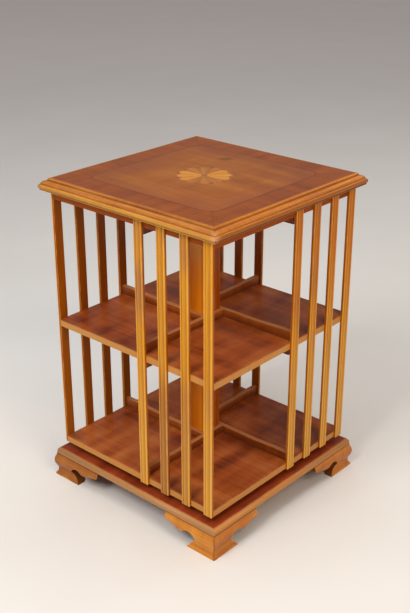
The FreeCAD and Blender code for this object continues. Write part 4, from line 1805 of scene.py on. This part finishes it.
@dataclass
class OgeeFeet:
    """Eight halves of the bracket feet, mitred in pairs at the corners.

    Each half is drawn at the right-hand end of the front side and mirrored for
    the left-hand end. Its face bends with height only, so between two levels it
    is a flat strip that runs from the cut-out to the mitre.
    """

    shop: Workshop
    back: float = 221.0
    toe: tuple[float, float] = (241.8, 3.0)
    bend: tuple[float, float] = (239.2, 23.0)
    crown: tuple[float, float] = (238.5, 51.5)
    waist_radius: float = 15.6
    bulge_radius: float = 27.1
    high: float = 55.0
    toe_start: float = 166.0
    ankle: tuple[float, float] = (189.0, 26.0)
    cusp: tuple[float, float] = (154.0, 31.0)
    scoop_radius: float = 20.7
    wing: tuple[float, float] = (104.0, 42.0)
    wing_radius: float = 104.0
    band: float = 2.2
    joint_dust_and_shade: float = 0.5
    mitre_dirt: float = 0.75
    floor_dirt: float = 0.3
    scuffed_to: float = 4.0
    scuffed_wear: float = 0.8
    cut_stain_and_shade: float = 0.85
    cut_rim: float = 0.08
    arris: float = 0.5

    def ogee(self) -> Array:
        """Points (out, up) of the face's profile, from the floor to the board.

        Returns:
            The points, one row each.
        """
        return Outline.trace([
            Corner(self.toe[0], 0),
            Corner(*self.toe, bow=-self.waist_radius),
            Corner(*self.bend, bow=self.bulge_radius),
            Corner(*self.crown),
            Corner(self.crown[0], self.high),
            Corner(self.back, self.high),
            Corner(self.back, 0),
        ]).points[:-2]

    def sweep(self) -> Array:
        """Points of the underside of the wing, from the cusp outwards.

        Returns:
            The points, one row each.
        """
        middle = ((self.cusp[0] + self.wing[0]) / 2, (self.cusp[1] + self.wing[1]) / 2)
        return Outline.trace([
            Corner(*self.cusp, bow=-self.wing_radius),
            Corner(*middle, bow=self.wing_radius),
            Corner(*self.wing),
            Corner(self.wing[0], self.high),
            Corner(self.cusp[0], self.high),
        ]).points[:-2]

    def strips(self) -> tuple[Array, Array, Array]:
        """Rows (height, start, end) of the three parts of the face.

        Returns:
            The part below the scoop's top at the toe, the part between the
            scoop and the wing's underside, and the part above both.
        """
        ogee, sweep = self.ogee(), self.sweep()
        centre = arc_centre(np.array(self.ankle), np.array(self.cusp), self.scoop_radius)
        top = centre[1] + self.scoop_radius
        arc = centre[1] + self.scoop_radius * np.sin(np.linspace(0.0, QUARTER, 9))
        marks = (self.ankle[1], self.cusp[1], top)
        keys = np.unique(np.round(np.concatenate((ogee[:, 1], sweep[:, 1], arc, marks)), 4))
        end = np.interp(keys, ogee[:, 1], ogee[:, 0])
        half = np.sqrt(np.maximum(self.scoop_radius**2 - (keys - centre[1]) ** 2, 0))
        slope = self.toe_start + (self.ankle[0] - self.toe_start) * keys / self.ankle[1]
        under = np.interp(keys, sweep[:, 1], sweep[:, 0])
        near = np.where(keys <= self.ankle[1], slope, centre[0] + half)
        below = keys <= top + 1e-3
        toe = np.column_stack((keys, near, end))[below]
        tongue = np.column_stack((keys, under, centre[0] - half))[below & (keys >= self.cusp[1])]
        above = np.column_stack((keys, under, end))[keys >= top - 1e-3]
        return toe, tongue, above

    def face(self, rows: Array) -> tuple[Array, Array, Array]:
        """Four points for each level of a part of the face.

        They lie at its start, a band further in, a band before its end and at its
        end. Both ends are rubbed, except on the mitre, and so is all near the floor.

        Args:
            rows: Rows (height, start, end) of the part.

        Returns:
            The places and their wear and dirt.
        """
        ogee = self.ogee()
        up, start, end = rows.T
        inward = np.minimum(self.band, (end - start) / 3)
        out = np.interp(up, ogee[:, 1], ogee[:, 0])
        mitre = (end > out - 1).astype(float)
        across = np.column_stack((start, start + inward, end - inward, end))
        places = np.column_stack((across.ravel(), np.repeat(-out, 4), np.repeat(up, 4)))
        none = np.zeros(len(rows))
        scuffed = np.clip((self.scuffed_to - up) / 2, 0.0, self.scuffed_wear)
        wear = np.maximum(np.column_stack((none + 1, none, none, 1 - mitre)), scuffed[:, None])
        dirt = np.column_stack((none, none, none, self.mitre_dirt * mitre))
        # Painted shadow line along the top, where the foot meets the base board.
        dirt[up > self.high - 0.1] = self.joint_dust_and_shade
        return places, wear.ravel(), dirt.ravel()

    def half(self) -> Shape:
        """One half at the right-hand end of the front side.

        Returns:
            The half foot.
        """
        toe_rows, tongue_rows, above_rows = self.strips()
        parts = [self.face(rows) for rows in (toe_rows, tongue_rows, above_rows[1:])]
        points, wear, dirt = (np.concatenate(column) for column in zip(*parts))
        ends = np.cumsum([len(part[1]) for part in parts])[:-1]
        toe, tongue, above = (n.reshape(-1, 4) for n in np.split(np.arange(len(points)), ends))
        faces = []
        for grid in (toe, tongue, above):
            low, high = grid[:-1], grid[1:]
            quads = np.stack((low[:, :3], low[:, 1:], high[:, 1:], high[:, :3]), axis=2)
            faces += listed(quads.reshape(-1, 4))
        faces.append((*tongue[-1], *toe[-1][1:], *above[0][::-1]))
        front = len(faces)
        rim = [
            *toe[0], *toe[1:, 3], *above[:, 3], *above[-1][2:0:-1], *above[::-1, 0],
            *tongue[::-1, 0], *tongue[1:, 3], *toe[::-1, 0][1:-1],
        ]
        before = np.array([number for place, number in enumerate(rim) if number != rim[place - 1]])
        count = len(before)
        outer = points[before]
        back = np.full(count, -self.back)
        inner = np.column_stack((np.minimum(outer[:, 0], self.back), back, outer[:, 2]))
        for ring in (outer + (inner - outer) * self.cut_rim, inner):
            after = np.arange(count) + len(points)
            points = np.concatenate((points, ring))
            faces += listed(np.column_stack((np.roll(before, -1), before, after, np.roll(after, -1))))
            before = after
        faces += cap(before)
        wear = np.pad(wear, (0, 2 * count))
        # The cut faces of the feet are darkened as painted shade, with a dark end-grain stain.
        dirt = np.pad(dirt, (0, 2 * count), constant_values=self.cut_stain_and_shade)
        grime_and_shade = np.maximum(np.clip(1 - points[:, 2] / 2, 0, 1) * self.floor_dirt, dirt)
        smooth = [index < front for index in range(len(faces))]
        return Shape(points, faces, smooth, np.column_stack((wear, grime_and_shade, np.zeros(len(wear))))).welded()

    def build(self) -> None:
        """Make both halves on every side, with every arris a little rounded."""
        timber = self.shop.finishes.foot
        right = self.half()
        left = replace(right, points=right.points * (-1, 1, 1), faces=[face[::-1] for face in right.faces])
        for side in Side:
            for drawn, corner in ((right, side.value), (left, (side.value - 1) % 4)):
                node = f"foot_{corner + 1}_{side.word}"
                shape = self.shop.cut(drawn, Run.ACROSS, side)
                piece = self.shop.make(f"ogee_{node}", node, shape, Body.BASE, "foot_wood", timber)
                arris = piece.modifiers.new("arris", "BEVEL")
                arris.width = self.arris * MM
                arris.segments = 2
                arris.limit_method = "ANGLE"
                arris.angle_limit = math.radians(50)


@dataclass(frozen=True)
class Lamp:
    """Square soft light.

    Attributes:
        name: Name of the lamp.
        place: Where it hangs.
        size: Width of the square, in metres.
        power: Power in watts.
        colour: Colour of its light as seen on screen.
    """

    name: str
    place: tuple[float, float, float]
    size: float
    power: float
    colour: Code

    def hang(self, target: Sequence[float]) -> None:
        """Hang the lamp so that it faces a target.

        Args:
            target: Place that it faces.
        """
        data = bpy.data.lights.new(self.name, "AREA")
        data.shape = "SQUARE"
        data.size = self.size
        data.energy = self.power
        data.color = srgb(self.colour)[:3]
        stand(self.name, data, self.place, Vector(target) - Vector(self.place))


def stand(name: str, data: bpy.types.ID, place: Sequence[float], look: Sequence[float]) -> bpy.types.Object:
    """Lamp or camera at a place of the scene, facing along a vector.

    Args:
        name: Its name.
        data: Its settings, already made.
        place: Where it stands.
        look: Direction that it faces.

    Returns:
        The object.
    """
    stood = bpy.data.objects.new(name, data)
    stood.location = place
    stood.rotation_euler = Vector(look).to_track_quat("-Z", "Y").to_euler()
    bpy.context.scene.collection.objects.link(stood)
    return stood


@dataclass
class Studio:
    """Plain floor, soft lights and the camera.

    Attributes:
        focal_mm: Focal length for a sensor 36 mm wide.
        eye: Place of the camera.
        look: Direction that it looks in.
        middle: Place that the lamps face.
        lamps: The lamps.
        floor_half: Half the width of the floor, in metres.
        floor_tones: Its two tones.
        far: Distances between which the camera sees the floor gain the far tone.
        far_tone: What it gains there.
        surroundings: Colour that lights the scene and the colour that the camera sees.
    """

    focal_mm: float = 60.555
    eye: tuple[float, float, float] = (1.35484, -1.51733, 1.31748)
    look: tuple[float, float, float] = (-0.6079, 0.6818, -0.4069)
    middle: tuple[float, float, float] = (0.0, 0.0, 0.35)
    lamps: tuple[Lamp, ...] = (
        Lamp("key", (0.1, -2.7, 2.9), 1.4, 78, "FFFCF6"),
        Lamp("fill", (2.6, -0.8, 2.3), 1.6, 48, "FFEBD2"),
        Lamp("above", (-0.3, -0.2, 3.3), 3.5, 50, "FFFFFF"),
        Lamp("back", (0.5, 2.9, 2.6), 1.8, 16, "FFF8F0"),
    )
    floor_half: float = 14.0
    floor_tones: tuple[Code, Code] = ("E0DDDA", "E9E7E4")
    far: tuple[float, float] = (1.2, 6.0)
    far_tone: Code = "5C534F"
    surroundings: tuple[Code, Code] = ("7D7D7E", "9A9390")

    def build(self) -> None:
        """Set up the floor, the world, the lamps and the camera."""
        self._floor()
        self._world()
        for lamp in self.lamps:
            lamp.hang(self.middle)
        data = bpy.data.cameras.new("camera")
        data.sensor_width = 36.0
        data.lens = self.focal_mm
        data.dof.use_dof = False
        bpy.context.scene.camera = stand("camera", data, self.eye, self.look)
        bpy.context.scene.view_settings.view_transform = "Standard"

    def _floor(self) -> None:
        """Wide plain floor with a faint unevenness in its tone."""
        h = self.floor_half
        mesh = bpy.data.meshes.new("floor")
        mesh.from_pydata([(-h, -h, 0), (h, -h, 0), (h, h, 0), (-h, h, 0)], [], [(0, 1, 2, 3)])
        floor = bpy.data.objects.new("floor", mesh)
        bpy.context.scene.collection.objects.link(floor)
        graph = Graph("floor_paint")
        place = graph.place()
        x, y, _ = graph.parts(place)
        far = (x * x + y * y).math("SQRT").ramp(*self.far) * graph.seen()
        mesh.materials.append(graph.finish({
            "Base Color": graph.mix(graph.noise(place, FLOOR_SCALE, 3.0), *self.floor_tones),
            "Roughness": 0.6,
            "Emission Color": graph.mix(far, "000000", self.far_tone),
            "Emission Strength": 1.0,
        }))

    def _world(self) -> None:
        """Even surroundings, seen in the tone of the far floor."""
        world = bpy.data.worlds.new("surroundings")
        world.use_nodes = True
        graph = Graph.inside(world.node_tree)
        background = world.node_tree.nodes["Background"]
        colour = graph.mix(graph.seen(), *self.surroundings)
        world.node_tree.links.new(colour.socket, background.inputs["Color"])
        background.inputs["Strength"].default_value = 1.0
        bpy.context.scene.world = world


def main() -> None:
    """Build the bookcase and the studio."""
    logging.basicConfig(level=logging.INFO, format="%(name)s: %(message)s")
    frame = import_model()
    shop = Workshop(Finishes())
    assemblies = (
        BaseBoard(shop), OgeeFeet(shop), Shelves(shop), Column(shop), SlatScreens(shop),
        BookStops(shop), TopMoulding(shop), FrameFinishes(frame["nodes"]), Studio(),
    )
    for assembly in assemblies:
        assembly.build()
        LOG.info("%s built", type(assembly).__name__)


if __name__ == "__main__":
    main()
